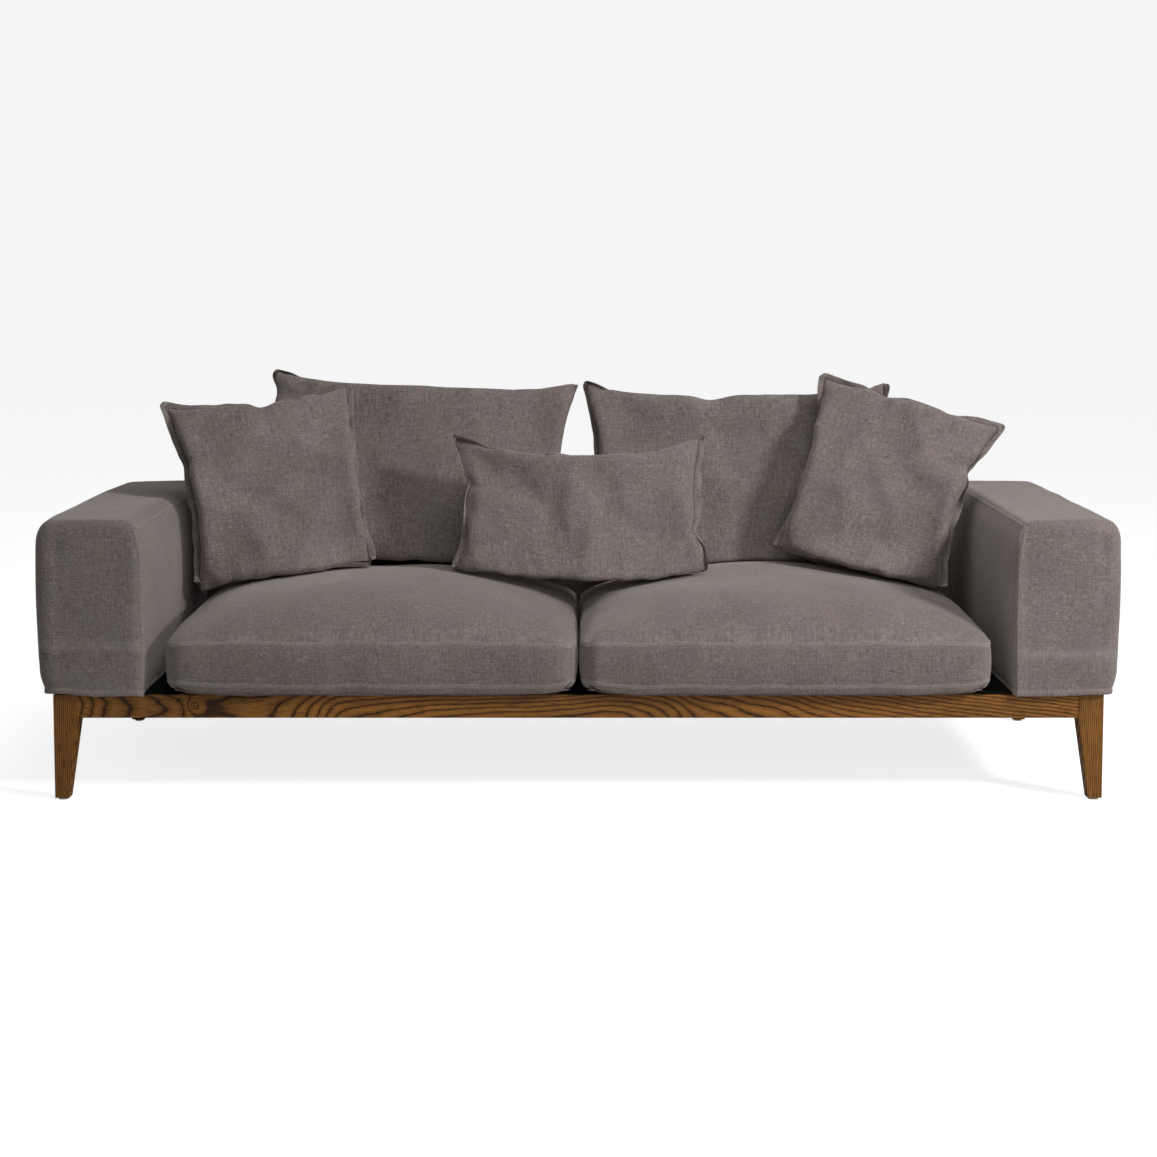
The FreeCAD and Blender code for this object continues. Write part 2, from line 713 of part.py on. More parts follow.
def pillow_form(label, size, shape, shrink):
    """A knife-edged cushion, its seam round the middle of its thickness, smaller by shrink."""
    body = doc.addObject("PartDesign::Body", label)
    width, height = size
    half, shoulder, shoulder_inset, plateau_inset = shape
    levels = [("0", "0"), (shoulder_inset, shoulder), (plateau_inset, half)]
    profile = [(inset, rise, -1) for inset, rise in reversed(levels[1:])]
    profile += [(inset, rise, 1) for inset, rise in levels]
    sections = []
    for inset, rise, sign in profile:
        less = f"2 * ({inset} + 2 * ({shrink}))"
        at = "0" if rise == "0" else f"{sign} * ({rise} - ({shrink}))"
        sections.append(centred_rectangle(body, f"{width} - {less}", f"{height} - {less}", at))
    loft(body, sections)
    return body


def cover_and_filling(name, filling, form, stand, hem=None):
    """A closed fabric skin and what it is filled with, from one form at three sizes."""
    outside, inside = form(f"{name}_outside", "0"), form(f"{name}_inside", "skin")
    if hem:
        hem(outside)
    shell = cut(outside, inside)
    core = form(f"{name}_filling", "(skin + ease)")
    for thing, label in ((shell, f"{name}_cover"), (core, f"{name}_{filling}")):
        stand(thing)
        subpart(thing, label)


def seat_cushions():
    for hand, side in SIDES.items():
        place_here = partial(
            place, x=f"{side} * seat_middle_x", y="seat_middle_y", z="deck_top + ease"
        )
        cover_and_filling(f"{hand}_seat_cushion", "foam", seat_form, place_here)


SHAPE_WORDS = ("half", "shoulder", "shoulder_inset", "plateau_inset")


def knife_cushion(name, size, shape, where, lean, yaw="0", spin="0"):
    """A cushion spun in its own plane, leant back from upright, and turned to one side."""
    width, height = size

    def form(label, shrink):
        return pillow_form(label, size, shape, shrink)

    def hem(body):
        wide, high = f"{width} + 2 * flange", f"{height} + 2 * flange"
        pad(body, centred_rectangle(body, wide, high), "skin", True)

    def stand(thing):
        place(thing, *where, (UPRIGHT, yaw), (ACROSS, f"90 - {lean}"), (UPRIGHT, spin))

    cover_and_filling(name, "insert", form, stand, hem)


def back_cushions():
    """Two cushions on the seat that lean on the top edge of the back, the left one crooked."""
    size = ("back_cushion_width", "back_cushion_height")
    shape = [f"back_cushion_{part}" for part in SHAPE_WORDS]
    spins = {"left": "back_cushion_spin", "right": "0"}
    for hand, spin in spins.items():
        z = f"back_cushion_middle + back_cushion_whole / 2 * sin({spin})"
        y = f"back_cushion_top_y - (arm_top - ({z})) * tan(back_cushion_lean)"
        where = (f"{SIDES[hand]} * back_cushion_apart", y, z)
        turn = f"-({spin})"
        knife_cushion(f"{hand}_back_cushion", size, shape, where, "back_cushion_lean", spin=turn)


def square_pillows():
    """A pillow at each end, on one corner, leaning on the back cushion and the arm."""
    size = ("pillow_size", "pillow_size")
    shape = [f"pillow_{part}" for part in SHAPE_WORDS]
    for hand, side in SIDES.items():
        words = ("beside", "apart", "dip", "lean", "yaw", "spin")
        beside, apart, dip, lean, yaw, spin = [f"{hand}_pillow_{word}" for word in words]
        inward = f"pillow_whole_half * (cos({spin}) - sin({spin})) * cos({yaw})"
        x = f"{side} * (deck_half - {beside} - {inward})"
        y = f"pillow_line - pillow_half / cos({lean}) - {apart}"
        corner = f"pillow_whole_half * (cos({spin}) + sin({spin})) * cos({lean})"
        where = (x, y, f"seat_crown - {dip} + {corner}")
        turned, spun = f"{-side} * {yaw}", f"{-side} * {spin}"
        knife_cushion(f"{hand}_pillow", size, shape, where, lean, turned, spun)


def lumbar_pillow():
    size = ("lumbar_width", "lumbar_height")
    shape = ["lumbar_half", "pillow_shoulder", "pillow_shoulder_inset", "lumbar_plateau_inset"]
    y = "pillow_line - lumbar_half / cos(lumbar_lean) - lumbar_apart"
    z = "seat_crown - lumbar_dip + (lumbar_height / 2 + flange) * cos(lumbar_lean)"
    knife_cushion("lumbar_pillow", size, shape, ("0", y, z), "lumbar_lean")


# ---- build and write --------------------------------------------------------------------------


def check():
    """Stops unless every object is up to date and every sub-part is a valid solid."""
    for thing in doc.Objects:
        bad = {"Invalid", "Error"} & set(thing.State)
        if bad:
            raise RuntimeError(f"{thing.Name} ({thing.Label}) is {thing.State}")
    for thing in subparts:
        shape = thing.Shape
        if shape.isNull() or not shape.isValid() or not shape.Solids:
            raise RuntimeError(f"{thing.Label} has no valid solid")


def write():
    os.makedirs("parts", exist_ok=True)
    for old in os.listdir("parts"):
        os.remove(os.path.join("parts", old))
    for thing in subparts:
        thing.Shape.exportStep(f"parts/{thing.Label}.step")
    print(f"{len(subparts)} sub-parts written")


fill_sheet()
frame()
bearers()
webbing()
deck_cloth()
dust_cover()
arms_and_back()
bolts_and_nuts()
seat_cushions()
back_cushions()
square_pillows()
lumbar_pillow()
doc.recompute()
check()
write()
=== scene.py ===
import json
import math

import bpy
import numpy as np
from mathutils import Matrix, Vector
from mathutils.bvhtree import BVHTree


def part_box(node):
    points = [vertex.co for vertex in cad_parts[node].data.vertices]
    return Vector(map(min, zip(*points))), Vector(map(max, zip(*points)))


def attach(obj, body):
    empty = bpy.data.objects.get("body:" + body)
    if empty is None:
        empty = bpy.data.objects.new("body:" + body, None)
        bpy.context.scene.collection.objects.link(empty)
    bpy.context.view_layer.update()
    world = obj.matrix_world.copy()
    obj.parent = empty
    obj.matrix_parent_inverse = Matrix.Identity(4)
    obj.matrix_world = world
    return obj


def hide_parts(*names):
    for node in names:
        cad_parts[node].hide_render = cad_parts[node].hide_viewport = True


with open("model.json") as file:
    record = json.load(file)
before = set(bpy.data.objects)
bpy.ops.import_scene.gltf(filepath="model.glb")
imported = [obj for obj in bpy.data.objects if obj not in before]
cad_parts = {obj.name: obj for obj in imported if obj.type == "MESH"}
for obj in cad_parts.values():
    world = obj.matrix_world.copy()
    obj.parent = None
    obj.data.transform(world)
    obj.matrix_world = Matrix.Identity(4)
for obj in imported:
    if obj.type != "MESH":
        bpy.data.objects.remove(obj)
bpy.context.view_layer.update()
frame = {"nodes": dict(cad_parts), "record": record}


def span(node):
    """The lowest and highest corners of a CAD node's box."""
    return [np.array(corner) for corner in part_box(node)]


# ---------------------------------------------------------------- camera, floor and light

CAMERA_AT = (0.0, -5.24386, 1.188347)
CAMERA_LENS = 68.4678
CAMERA_PITCH = 5.0
CAMERA_SHIFT = -0.10526
FLOOR_HALF = 30.0
FLOOR_TONE = 0.80
FLOOR_GLOW = 0.80  # the same all over, so the floor stays pale beyond the softboxes
FLOOR_BOUNCE = 0.65  # the floor's tone to rays other than the camera's
AMBIENT = 0.14
BACKDROP = FLOOR_GLOW + FLOOR_TONE * AMBIENT  # as pale as the floor far from the softboxes
AIM = (0.0, 0.0, 0.45)  # what the softboxes point at
SOFTBOXES = {
    "key": dict(azimuth=54, elevation=25, distance=4.6, size=0.7, power=108),
    "overhead": dict(azimuth=35, elevation=72, distance=3.6, size=2.6, power=46),
    "front": dict(azimuth=5, elevation=20, distance=7.0, size=2.4, power=52),
}


def make_camera():
    data = bpy.data.cameras.new("camera")
    data.lens = CAMERA_LENS
    data.sensor_width = 36.0
    data.shift_y = CAMERA_SHIFT
    camera = bpy.data.objects.new("camera", data)
    camera.location = CAMERA_AT
    camera.rotation_euler = (math.radians(90 - CAMERA_PITCH), 0, 0)
    bpy.context.scene.collection.objects.link(camera)
    bpy.context.scene.camera = camera


def make_world():
    """Dim light from all round, which the camera sees as a pale backdrop."""
    world = bpy.data.worlds.new("studio")
    world.use_nodes = True
    bpy.context.scene.world = world
    tree = world.node_tree
    background = tree.nodes["Background"]
    path = tree.nodes.new("ShaderNodeLightPath")
    level = tree.nodes.new("ShaderNodeMapRange")
    level.inputs["To Min"].default_value = AMBIENT
    level.inputs["To Max"].default_value = BACKDROP
    tree.links.new(path.outputs["Is Camera Ray"], level.inputs["Value"])
    tree.links.new(level.outputs["Result"], background.inputs["Strength"])
    background.inputs["Color"].default_value = (1, 1, 1, 1)


def make_lights():
    """Softboxes aimed at the sofa; azimuths are to the right of the front."""
    for name, facts in SOFTBOXES.items():
        data = bpy.data.lights.new(name, "AREA")
        data.shape = "DISK"
        data.size = facts["size"]
        data.energy = facts["power"]
        lamp = bpy.data.objects.new(name, data)
        turn, rise = math.radians(facts["azimuth"]), math.radians(facts["elevation"])
        away = Vector((math.sin(turn) * math.cos(rise), -math.cos(turn) * math.cos(rise), math.sin(rise)))
        lamp.location = Vector(AIM) + away * facts["distance"]
        lamp.rotation_euler = away.to_track_quat("Z", "Y").to_euler()
        lamp.visible_camera = False
        bpy.context.scene.collection.objects.link(lamp)


def make_floor():
    """A plain pale floor, one tone and one glow all over."""
    mesh = bpy.data.meshes.new("floor")
    h = FLOOR_HALF
    mesh.from_pydata([(-h, -h, 0), (h, -h, 0), (h, h, 0), (-h, h, 0)], [], [(0, 1, 2, 3)])
    floor = bpy.data.objects.new("floor", mesh)
    bpy.context.scene.collection.objects.link(floor)
    paint = Paint("floor_white", roughness=0.8, specular=0.1)
    place = paint.node("ShaderNodeTexCoord").outputs["Object"]
    grain = paint.noise(place, 6.0, detail=2)
    paint.colour(paint.mix(grain, (FLOOR_TONE - 0.01,) * 3, (FLOOR_TONE + 0.01,) * 3))
    direct = paint.node("ShaderNodeLightPath").outputs["Is Camera Ray"]
    lamp = paint.node("ShaderNodeEmission", {"Strength": FLOOR_GLOW})
    sheet = paint.node("ShaderNodeAddShader")
    paint.link(paint.shader.outputs[0], sheet.inputs[0])
    paint.link(lamp.outputs[0], sheet.inputs[1])
    dark = paint.node("ShaderNodeBsdfDiffuse", {"Color": (FLOOR_BOUNCE,) * 3})
    blend = paint.node("ShaderNodeMixShader", {0: direct})
    paint.link(dark.outputs[0], blend.inputs[1])
    paint.link(sheet.outputs[0], blend.inputs[2])
    paint.link(blend.outputs[0], paint.output.inputs["Surface"])
    mesh.materials.append(paint.material)


# ---------------------------------------------------------------- materials

class Paint:
    """One node material being built."""

    def __init__(self, name, roughness=0.5, specular=0.5, **sockets):
        self.material = bpy.data.materials.new(name)
        self.material.use_nodes = True
        self.tree = self.material.node_tree
        self.shader = self.tree.nodes["Principled BSDF"]
        self.output = self.tree.nodes["Material Output"]
        self.shader.inputs["Roughness"].default_value = roughness
        self.shader.inputs["Specular IOR Level"].default_value = specular
        for socket, value in sockets.items():
            self.shader.inputs[socket.replace("_", " ")].default_value = value

    def link(self, source, target):
        self.tree.links.new(source, target)

    def feed(self, socket, value):
        if isinstance(value, bpy.types.NodeSocket):
            self.link(value, socket)
        elif isinstance(value, tuple) and len(value) == 3 and socket.type == "RGBA":
            socket.default_value = (*value, 1)
        else:
            socket.default_value = value

    def node(self, kind, inputs=None, **settings):
        made = self.tree.nodes.new(kind)
        for key, value in settings.items():
            setattr(made, key, value)
        for key, value in (inputs or {}).items():
            self.feed(made.inputs[key], value)
        return made

    def math(self, operation, a, b=0.0, clamp=False):
        return self.node("ShaderNodeMath", {0: a, 1: b}, operation=operation, use_clamp=clamp).outputs[0]

    def scaled(self, vector, factors):
        return self.node("ShaderNodeVectorMath", {0: vector, 1: factors}, operation="MULTIPLY").outputs[0]

    def noise(self, vector, scale=1.0, detail=2.0, distortion=0.0):
        inputs = {"Vector": vector, "Scale": scale, "Detail": detail, "Distortion": distortion}
        return self.node("ShaderNodeTexNoise", inputs).outputs["Fac"]

    def spread(self, value, low, high, to_low=0.0, to_high=1.0):
        inputs = {"Value": value, "From Min": low, "From Max": high, "To Min": to_low, "To Max": to_high}
        return self.node("ShaderNodeMapRange", inputs).outputs["Result"]

    def ramp(self, value, stops):
        made = self.node("ShaderNodeValToRGB", {0: value})
        elements = made.color_ramp.elements
        while len(elements) < len(stops):
            elements.new(0.5)
        for element, (position, colour) in zip(elements, stops):
            element.position = position
            element.color = (*colour, 1)
        return made.outputs["Color"]

    def mix(self, factor, a, b, blend="MIX"):
        made = self.node("ShaderNodeMix", data_type="RGBA", blend_type=blend)
        self.feed(made.inputs[0], factor)
        self.feed(made.inputs[6], a)
        self.feed(made.inputs[7], b)
        return made.outputs[2]

    def curve(self, value, points):
        """A smooth curve through points of (value, result)."""
        lows = [min(point[n] for point in points) for n in (0, 1)]
        spans = [max(point[n] for point in points) - lows[n] for n in (0, 1)]
        made = self.node("ShaderNodeFloatCurve", {1: self.spread(value, lows[0], lows[0] + spans[0])})
        line = made.mapping.curves[0]
        while len(line.points) < len(points):
            line.points.new(0.5, 0.5)
        places = [((x - lows[0]) / spans[0], (y - lows[1]) / spans[1]) for x, y in points]
        for knot, spot in zip(line.points, places):
            knot.location = spot
        made.mapping.update()
        return self.spread(made.outputs[0], 0.0, 1.0, lows[1], lows[1] + spans[1])

    def total(self, *terms):
        """The weighted sum of (weight, noise) terms about their middles, centred on a half."""
        value = 0.5
        for weight, term in terms:
            centred = self.math("SUBTRACT", term, 0.5)
            value = self.math("ADD", self.math("MULTIPLY", centred, weight), value)
        return value

    def colour(self, value):
        self.feed(self.shader.inputs["Base Color"], value)

    def bump(self, height, strength, distance):
        inputs = {"Strength": strength, "Distance": distance, "Height": height}
        self.link(self.node("ShaderNodeBump", inputs).outputs[0], self.shader.inputs["Normal"])


LINEN_RAMP = [(0.0, (0.078, 0.061, 0.055)), (0.5, (0.180, 0.149, 0.138)), (1.0, (0.325, 0.284, 0.266))]
LINEN_OCHRE = (0.200, 0.162, 0.125)
LINEN_GREY = (0.165, 0.155, 0.157)
# a lighter colour for worn seams and edges, and also a painted highlight where a cushion's body rises beside
# its stitches
LINEN_WORN_AND_HIGHLIGHT = (0.350, 0.322, 0.285)
# painted shade: the dark line along a cushion's stitches, where its body bulges over the hem
LINEN_PAINTED_SHADE = (0.045, 0.035, 0.031)


def linen():
    """Washed linen: warp and weft threads, slubs, cloudy washing, worn seams, and painted shade and
    highlight beside cushion stitches.
    """
    paint = Paint("washed_linen", roughness=0.95, specular=0.2, Sheen_Weight=0.34, Sheen_Roughness=0.5,
                  Sheen_Tint=(1.0, 0.90, 0.84, 1.0))
    cloth = paint.node("ShaderNodeUVMap", uv_map="weave").outputs[0]
    place = paint.node("ShaderNodeTexCoord").outputs["Object"]
    warp = paint.noise(paint.scaled(cloth, (420, 110, 1)), detail=3)
    weft = paint.noise(paint.scaled(cloth, (110, 420, 1)), detail=3)
    warp_slubs = paint.noise(paint.scaled(cloth, (210, 32, 1)), detail=2)
    weft_slubs = paint.noise(paint.scaled(cloth, (32, 210, 1)), detail=2)
    mottle = paint.noise(cloth, 120.0, detail=2)
    cloud = paint.noise(place, 7.5, detail=4, distortion=0.6)
    tone = paint.total((0.85, warp), (0.85, weft), (0.46, warp_slubs), (0.46, weft_slubs),
                       (0.20, mottle), (0.40, cloud))
    washed = paint.ramp(tone, LINEN_RAMP)
    tint = paint.noise(place, 13.0, detail=3)
    washed = paint.mix(paint.spread(tint, 0.50, 0.72, 0.0, 0.40), washed, LINEN_OCHRE)
    washed = paint.mix(paint.spread(tint, 0.48, 0.28, 0.0, 0.40), washed, LINEN_GREY)
    # the point attribute read here: wear and painted highlight above nought, painted shade below it
    wear_and_painted_light = paint.node("ShaderNodeAttribute", attribute_name="wear_and_painted_light").outputs["Fac"]
    # lighter where worn, and a painted highlight where cushions rise beside their stitches
    wear_and_highlight = paint.math("MULTIPLY", wear_and_painted_light, paint.spread(mottle, 0.25, 0.7, 0.35, 1.0))
    wear_and_highlight = paint.math("MULTIPLY", wear_and_highlight, paint.spread(warp_slubs, 0.3, 0.7, 0.6, 1.0), clamp=True)
    worn_and_painted_light = paint.mix(wear_and_highlight, washed, LINEN_WORN_AND_HIGHLIGHT)
    # painted shade: negative values darken the cloth towards the dark colour
    painted_shade = paint.math("MULTIPLY", wear_and_painted_light, -0.8, clamp=True)
    paint.colour(paint.mix(painted_shade, worn_and_painted_light, LINEN_PAINTED_SHADE))
    threads = paint.total((0.5, warp), (0.5, weft), (0.6, warp_slubs), (0.6, weft_slubs))
    paint.bump(threads, 0.70, 0.0020)
    paint.link(paint.spread(threads, 0.2, 0.8, 0.98, 0.82), paint.shader.inputs["Roughness"])
    return paint.material


WOOD_LIGHT = (0.360, 0.158, 0.033)
WOOD_MID = (0.225, 0.088, 0.015)
WOOD_DARK = (0.016, 0.006, 0.001)


def stained_ash(name, axis, heart, depth, pitch, wander, knots=()):
    """Stained ash with its grain along x, y or z (axis 0, 1 or 2).

    Its rings lie round a heart line. heart and depth are curves of (place along, distance): how far
    the line stands from the board's axes across it and behind its face.
    """
    paint = Paint(name, roughness=0.5, specular=0.25)
    place = paint.node("ShaderNodeTexCoord").outputs["Object"]
    split = paint.node("ShaderNodeSeparateXYZ", {0: place}).outputs
    along = split[axis]
    across = split[2] if axis != 2 else split[0]
    inward = split[1] if axis != 1 else split[0]
    line = paint.node("ShaderNodeCombineXYZ", {0: along, 1: across, 2: inward}).outputs[0]
    low = paint.math("SUBTRACT", across, paint.curve(along, heart))
    deep = paint.math("ADD", paint.curve(along, depth), paint.math("MULTIPLY", inward, 0.35))
    drift = paint.noise(paint.scaled(line, (5.5, 9, 9)), detail=2)
    deep = paint.math("ADD", deep, paint.spread(drift, 0.0, 1.0, -wander, wander))
    squares = paint.math("ADD", paint.math("POWER", low, 2.0), paint.math("POWER", deep, 2.0))
    ring = paint.math("SQRT", squares)
    for knot in knots:
        apart = paint.node("ShaderNodeVectorMath", {0: place, 1: knot}, operation="DISTANCE")
        swell = paint.math("EXPONENT", paint.math("MULTIPLY", apart.outputs["Value"], -90.0))
        ring = paint.math("ADD", ring, paint.math("MULTIPLY", swell, 0.019))
    rough = paint.noise(paint.scaled(line, (26, 120, 120)), detail=3)
    ring = paint.math("ADD", ring, paint.math("MULTIPLY", rough, pitch * 0.35))
    year = paint.math("FRACT", paint.math("DIVIDE", ring, pitch))
    growth = paint.ramp(year, [(0.0, WOOD_DARK), (0.11, WOOD_DARK), (0.20, WOOD_MID), (0.55, WOOD_LIGHT),
                               (0.93, WOOD_MID), (1.0, WOOD_DARK)])
    fibre = paint.noise(paint.scaled(line, (12, 520, 520)), detail=3)
    pores = paint.noise(paint.scaled(line, (30, 1100, 1100)), detail=1)
    cloud = paint.noise(paint.scaled(line, (2.2, 12, 12)), detail=3)
    streaked = paint.mix(paint.spread(fibre, 0.35, 0.65, 0.35, 0.0), growth, WOOD_MID)
    streaked = paint.mix(paint.spread(pores, 0.54, 0.66, 0.0, 0.80), streaked, WOOD_DARK)
    shade = paint.ramp(cloud, [(0.25, (0.66, 0.64, 0.62)), (0.75, (1.25, 1.22, 1.18))])
    paint.colour(paint.mix(1.0, streaked, shade, "MULTIPLY"))
    relief = paint.total((0.7, fibre), (-0.5, pores), (0.5, year))
    paint.bump(relief, 0.35, 0.0006)
    paint.link(paint.spread(fibre, 0.3, 0.7, 0.40, 0.60), paint.shader.inputs["Roughness"])
    return paint.material


def plain(name, dark, light, scales, roughness, metallic=0.0, depth=0.0004):
    """A material with a stretched mottle: cloth, board, plastic or metal by its scales and colours."""
    paint = Paint(name, roughness=roughness, specular=0.5 if roughness < 0.7 else 0.08, Metallic=metallic)
    place = paint.node("ShaderNodeTexCoord").outputs["Object"]
    streaks = paint.noise(paint.scaled(place, scales), detail=4)
    cloud = paint.noise(place, 11.0, detail=3)
    tone = paint.total((0.9, streaks), (0.5, cloud))
    paint.colour(paint.ramp(tone, [(0.25, dark), (0.75, light)]))
    rough = paint.spread(tone, 0.2, 0.8, roughness - 0.08, roughness + 0.08)
    paint.link(rough, paint.shader.inputs["Roughness"])
    paint.bump(streaks, 0.4, depth)
    return paint.material


def cad_materials():
    """The materials of the CAD nodes that stay, by the record's slot."""
    return {
        "softwood": plain("planed_pine", (0.46, 0.31, 0.16), (0.66, 0.48, 0.28), (6, 160, 160), 0.62),
        "plywood": plain("birch_ply", (0.45, 0.32, 0.19), (0.64, 0.50, 0.33), (14, 90, 90), 0.6),
        "glide_plastic": plain("grey_polythene", (0.42, 0.42, 0.41), (0.60, 0.60, 0.58),
                               (300, 300, 300), 0.42),
        "zinc_steel": plain("zinc_plate", (0.50, 0.51, 0.53), (0.72, 0.73, 0.74),
                            (260, 260, 260), 0.34, 1.0),
        "webbing": plain("jute_webbing", (0.22, 0.14, 0.07), (0.40, 0.28, 0.15), (420, 420, 90), 0.9),
        # the deck lining: dark cloth, made darker still as painted shade in the gaps beside the seat
        # cushions
        "lining": plain("dark_lining_and_painted_shade", (0.004, 0.004, 0.004), (0.010, 0.009, 0.009), (520, 520, 520), 0.95),
        "black_cloth": plain("spun_dust_cover", (0.010, 0.010, 0.011), (0.030, 0.030, 0.032),
                             (380, 380, 380), 0.92),
        "foam": plain("cut_foam", (0.62, 0.52, 0.28), (0.78, 0.68, 0.42), (700, 700, 700), 0.95),
        "filling": plain("fibre_fill", (0.66, 0.65, 0.62), (0.84, 0.83, 0.80), (240, 240, 240), 0.95),
        "linen": plain("linen_lining", (0.16, 0.13, 0.12), (0.28, 0.24, 0.22), (430, 430, 430), 0.95),
    }


# the front rail's board: arches at its left end, a knot, then long slanting sweeps
RAIL_HEART = [(-1.14, 0.211), (-0.90, 0.213), (-0.60, 0.190), (-0.20, 0.165), (0.25, 0.182), (0.60, 0.132),
              (1.14, 0.058)]
RAIL_DEPTH = [(-1.14, 0.105), (-0.88, 0.036), (-0.78, 0.030), (-0.50, 0.075), (0.00, 0.100), (0.30, 0.066),
              (0.60, 0.050), (1.14, 0.052)]
RAIL_KNOT = (-0.853, -0.43, 0.212)
RAIL_PITCH = 0.0068
LEG_PITCH = 0.0042


def wood_for(node):
    """A board of its own for each wooden piece."""
    low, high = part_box(node)
    middle = (low + high) / 2
    if node.endswith("_leg"):
        heart = [(0.0, middle.x - 0.30), (0.12, middle.x - 0.302), (0.25, middle.x - 0.298)]
        return stained_ash(f"ash_{node}", 2, heart, [(0.0, 0.05), (0.25, 0.06)], LEG_PITCH, 0.004)
    if "side_rail" in node:
        heart = [(-0.45, 0.16), (0.0, 0.17), (0.45, 0.14)]
        depth = [(-0.45, 0.06), (0.1, 0.09), (0.45, 0.05)]
        return stained_ash(f"ash_{node}", 1, heart, depth, RAIL_PITCH, 0.010)
    if node == "front_rail":
        return stained_ash("ash_front_rail", 0, RAIL_HEART, RAIL_DEPTH, RAIL_PITCH, 0.008, [RAIL_KNOT])
    heart = [(-1.2, 0.15), (-0.4, 0.205), (0.5, 0.18), (1.2, 0.22)]
    depth = [(-1.2, 0.12), (-0.4, 0.05), (0.3, 0.10), (1.2, 0.04)]
    return stained_ash(f"ash_{node}", 0, heart, depth, RAIL_PITCH, 0.010)


def paint_cad_nodes():
    made = cad_materials()
    for item in frame["record"]["subparts"]:
        node = frame["nodes"][item["node"]]
        slot = item["material_slot"]
        material = wood_for(item["node"]) if slot == "ash" else made[slot]
        for holder in node.material_slots:
            holder.material = material


# ---------------------------------------------------------------- mesh helpers

def ripple(points, wavelength, seed, waves=9):
    """A smooth random height of about unit size at each point, the same in every run."""
    rng = np.random.default_rng(seed)
    directions = rng.normal(size=(waves, points.shape[1]))
    directions /= np.linalg.norm(directions, axis=1, keepdims=True)
    lengths = wavelength * rng.uniform(0.7, 1.5, waves)
    phases = rng.uniform(0, 2 * math.pi, waves)
    angles = points @ (directions / lengths[:, None]).T * 2 * math.pi + phases
    return np.sin(angles).sum(1) * math.sqrt(2 / waves)


def smooth_step(values, low, high):
    t = np.clip((values - low) / (high - low), 0, 1)
    return t * t * (3 - 2 * t)


def hill(values, middle, width):
    return np.exp(-((values - middle) / width) ** 2)


def unit(vectors):
    return vectors / np.linalg.norm(vectors, axis=-1, keepdims=True).clip(1e-12)


class Skin:
    """A mesh in the making: points, quads, each corner's place on the cloth in metres, each point's wear and
    painted light.
    """

    def __init__(self, points, quads, cloth, wear_and_painted_light=None):
        self.points = np.asarray(points, float)
        self.quads = np.asarray(quads, int)
        self.cloth = np.asarray(cloth, float)
        self.wear_and_painted_light = np.zeros(len(self.points)) if wear_and_painted_light is None else np.asarray(wear_and_painted_light, float)

    def normals(self):
        a, b, c, d = (self.points[self.quads[:, n]] for n in range(4))
        face = np.cross(c - a, d - b)
        summed = np.zeros_like(self.points)
        for n in range(4):
            np.add.at(summed, self.quads[:, n], face)
        return unit(summed)

    def lift(self, heights):
        self.points = self.points + self.normals() * heights[:, None]

    def add(self, other):
        self.quads = np.r_[self.quads, other.quads + len(self.points)]
        self.points = np.r_[self.points, other.points]
        self.cloth = np.r_[self.cloth, other.cloth]
        self.wear_and_painted_light = np.r_[self.wear_and_painted_light, other.wear_and_painted_light]

    def mirror(self):
        self.points = self.points * (-1, 1, 1)
        self.quads = self.quads[:, ::-1]
        self.cloth = self.cloth[:, ::-1]

    def averaged(self, values):
        """Each point's value averaged with its neighbours'."""
        ends = np.r_[self.quads, np.roll(self.quads, -1, 1)].reshape(-1)
        others = np.r_[np.roll(self.quads, -1, 1), self.quads].reshape(-1)
        summed = np.zeros_like(values)
        np.add.at(summed, ends, values[others])
        count = np.bincount(ends, minlength=len(values)).clip(1)
        return summed / count[:, None]

    def tree(self):
        return BVHTree.FromPolygons(self.points.tolist(), self.quads.tolist())

    def make(self, name, body, stands_for, fill):
        mesh = bpy.data.meshes.new(name)
        mesh.from_pydata(self.points.tolist(), [], self.quads.tolist())
        mesh.uv_layers.new(name="weave").data.foreach_set("uv", self.cloth.reshape(-1))
        mesh.attributes.new("wear_and_painted_light", "FLOAT", "POINT").data.foreach_set("value", self.wear_and_painted_light)
        mesh.polygons.foreach_set("use_smooth", [True] * len(self.quads))
        mesh.materials.append(LINEN)
        piece = bpy.data.objects.new(name, mesh)
        bpy.context.scene.collection.objects.link(piece)
        subdivision = piece.modifiers.new("subdivision", "SUBSURF")
        subdivision.levels = 1
        subdivision.render_levels = 1
        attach(piece, body)
        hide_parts(*stands_for)


class Lattice:
    """The six sides of a box cut into quads, whose neighbouring sides share their edge points."""

    def __init__(self, xs, ys, zs):
        counts = [len(xs), len(ys), len(zs)]
        cells = np.stack(np.meshgrid(*map(np.arange, counts), indexing="ij"), -1)
        last = np.array(counts) - 1
        shell = ((cells == 0) | (cells == last)).any(-1)
        self.index = -np.ones(counts, int)
        self.index[shell] = np.arange(shell.sum())
        self.cell = cells[shell]
        self.last = last
        self.rest = np.c_[xs[self.cell[:, 0]], ys[self.cell[:, 1]], zs[self.cell[:, 2]]]
        self.quads, self.cloth = self._sides()

    def _sides(self):
        quads, cloth = [], []
        for axis in range(3):
            for end in (0, self.last[axis]):
                sheet = np.take(self.index, end, axis)
                side = np.stack([sheet[:-1, :-1], sheet[1:, :-1], sheet[1:, 1:], sheet[:-1, 1:]], -1)
                side = side.reshape(-1, 4)
                if (end == 0) != (axis == 1):
                    side = side[:, ::-1]
                flat = [n for n in range(3) if n != axis]
                quads.append(side)
                cloth.append(self.rest[side][:, :, flat] + (axis * 3.1, (end > 0) * 2.3))
        return np.concatenate(quads), np.concatenate(cloth)

    def around(self, level):
        """The points round the box at one level, anticlockwise seen from above."""
        nx, ny = self.last[0], self.last[1]
        plan = self.index[:, :, level]
        return np.r_[plan[:nx, 0], plan[nx, :ny], plan[nx:0:-1, ny], plan[0, ny:0:-1]]


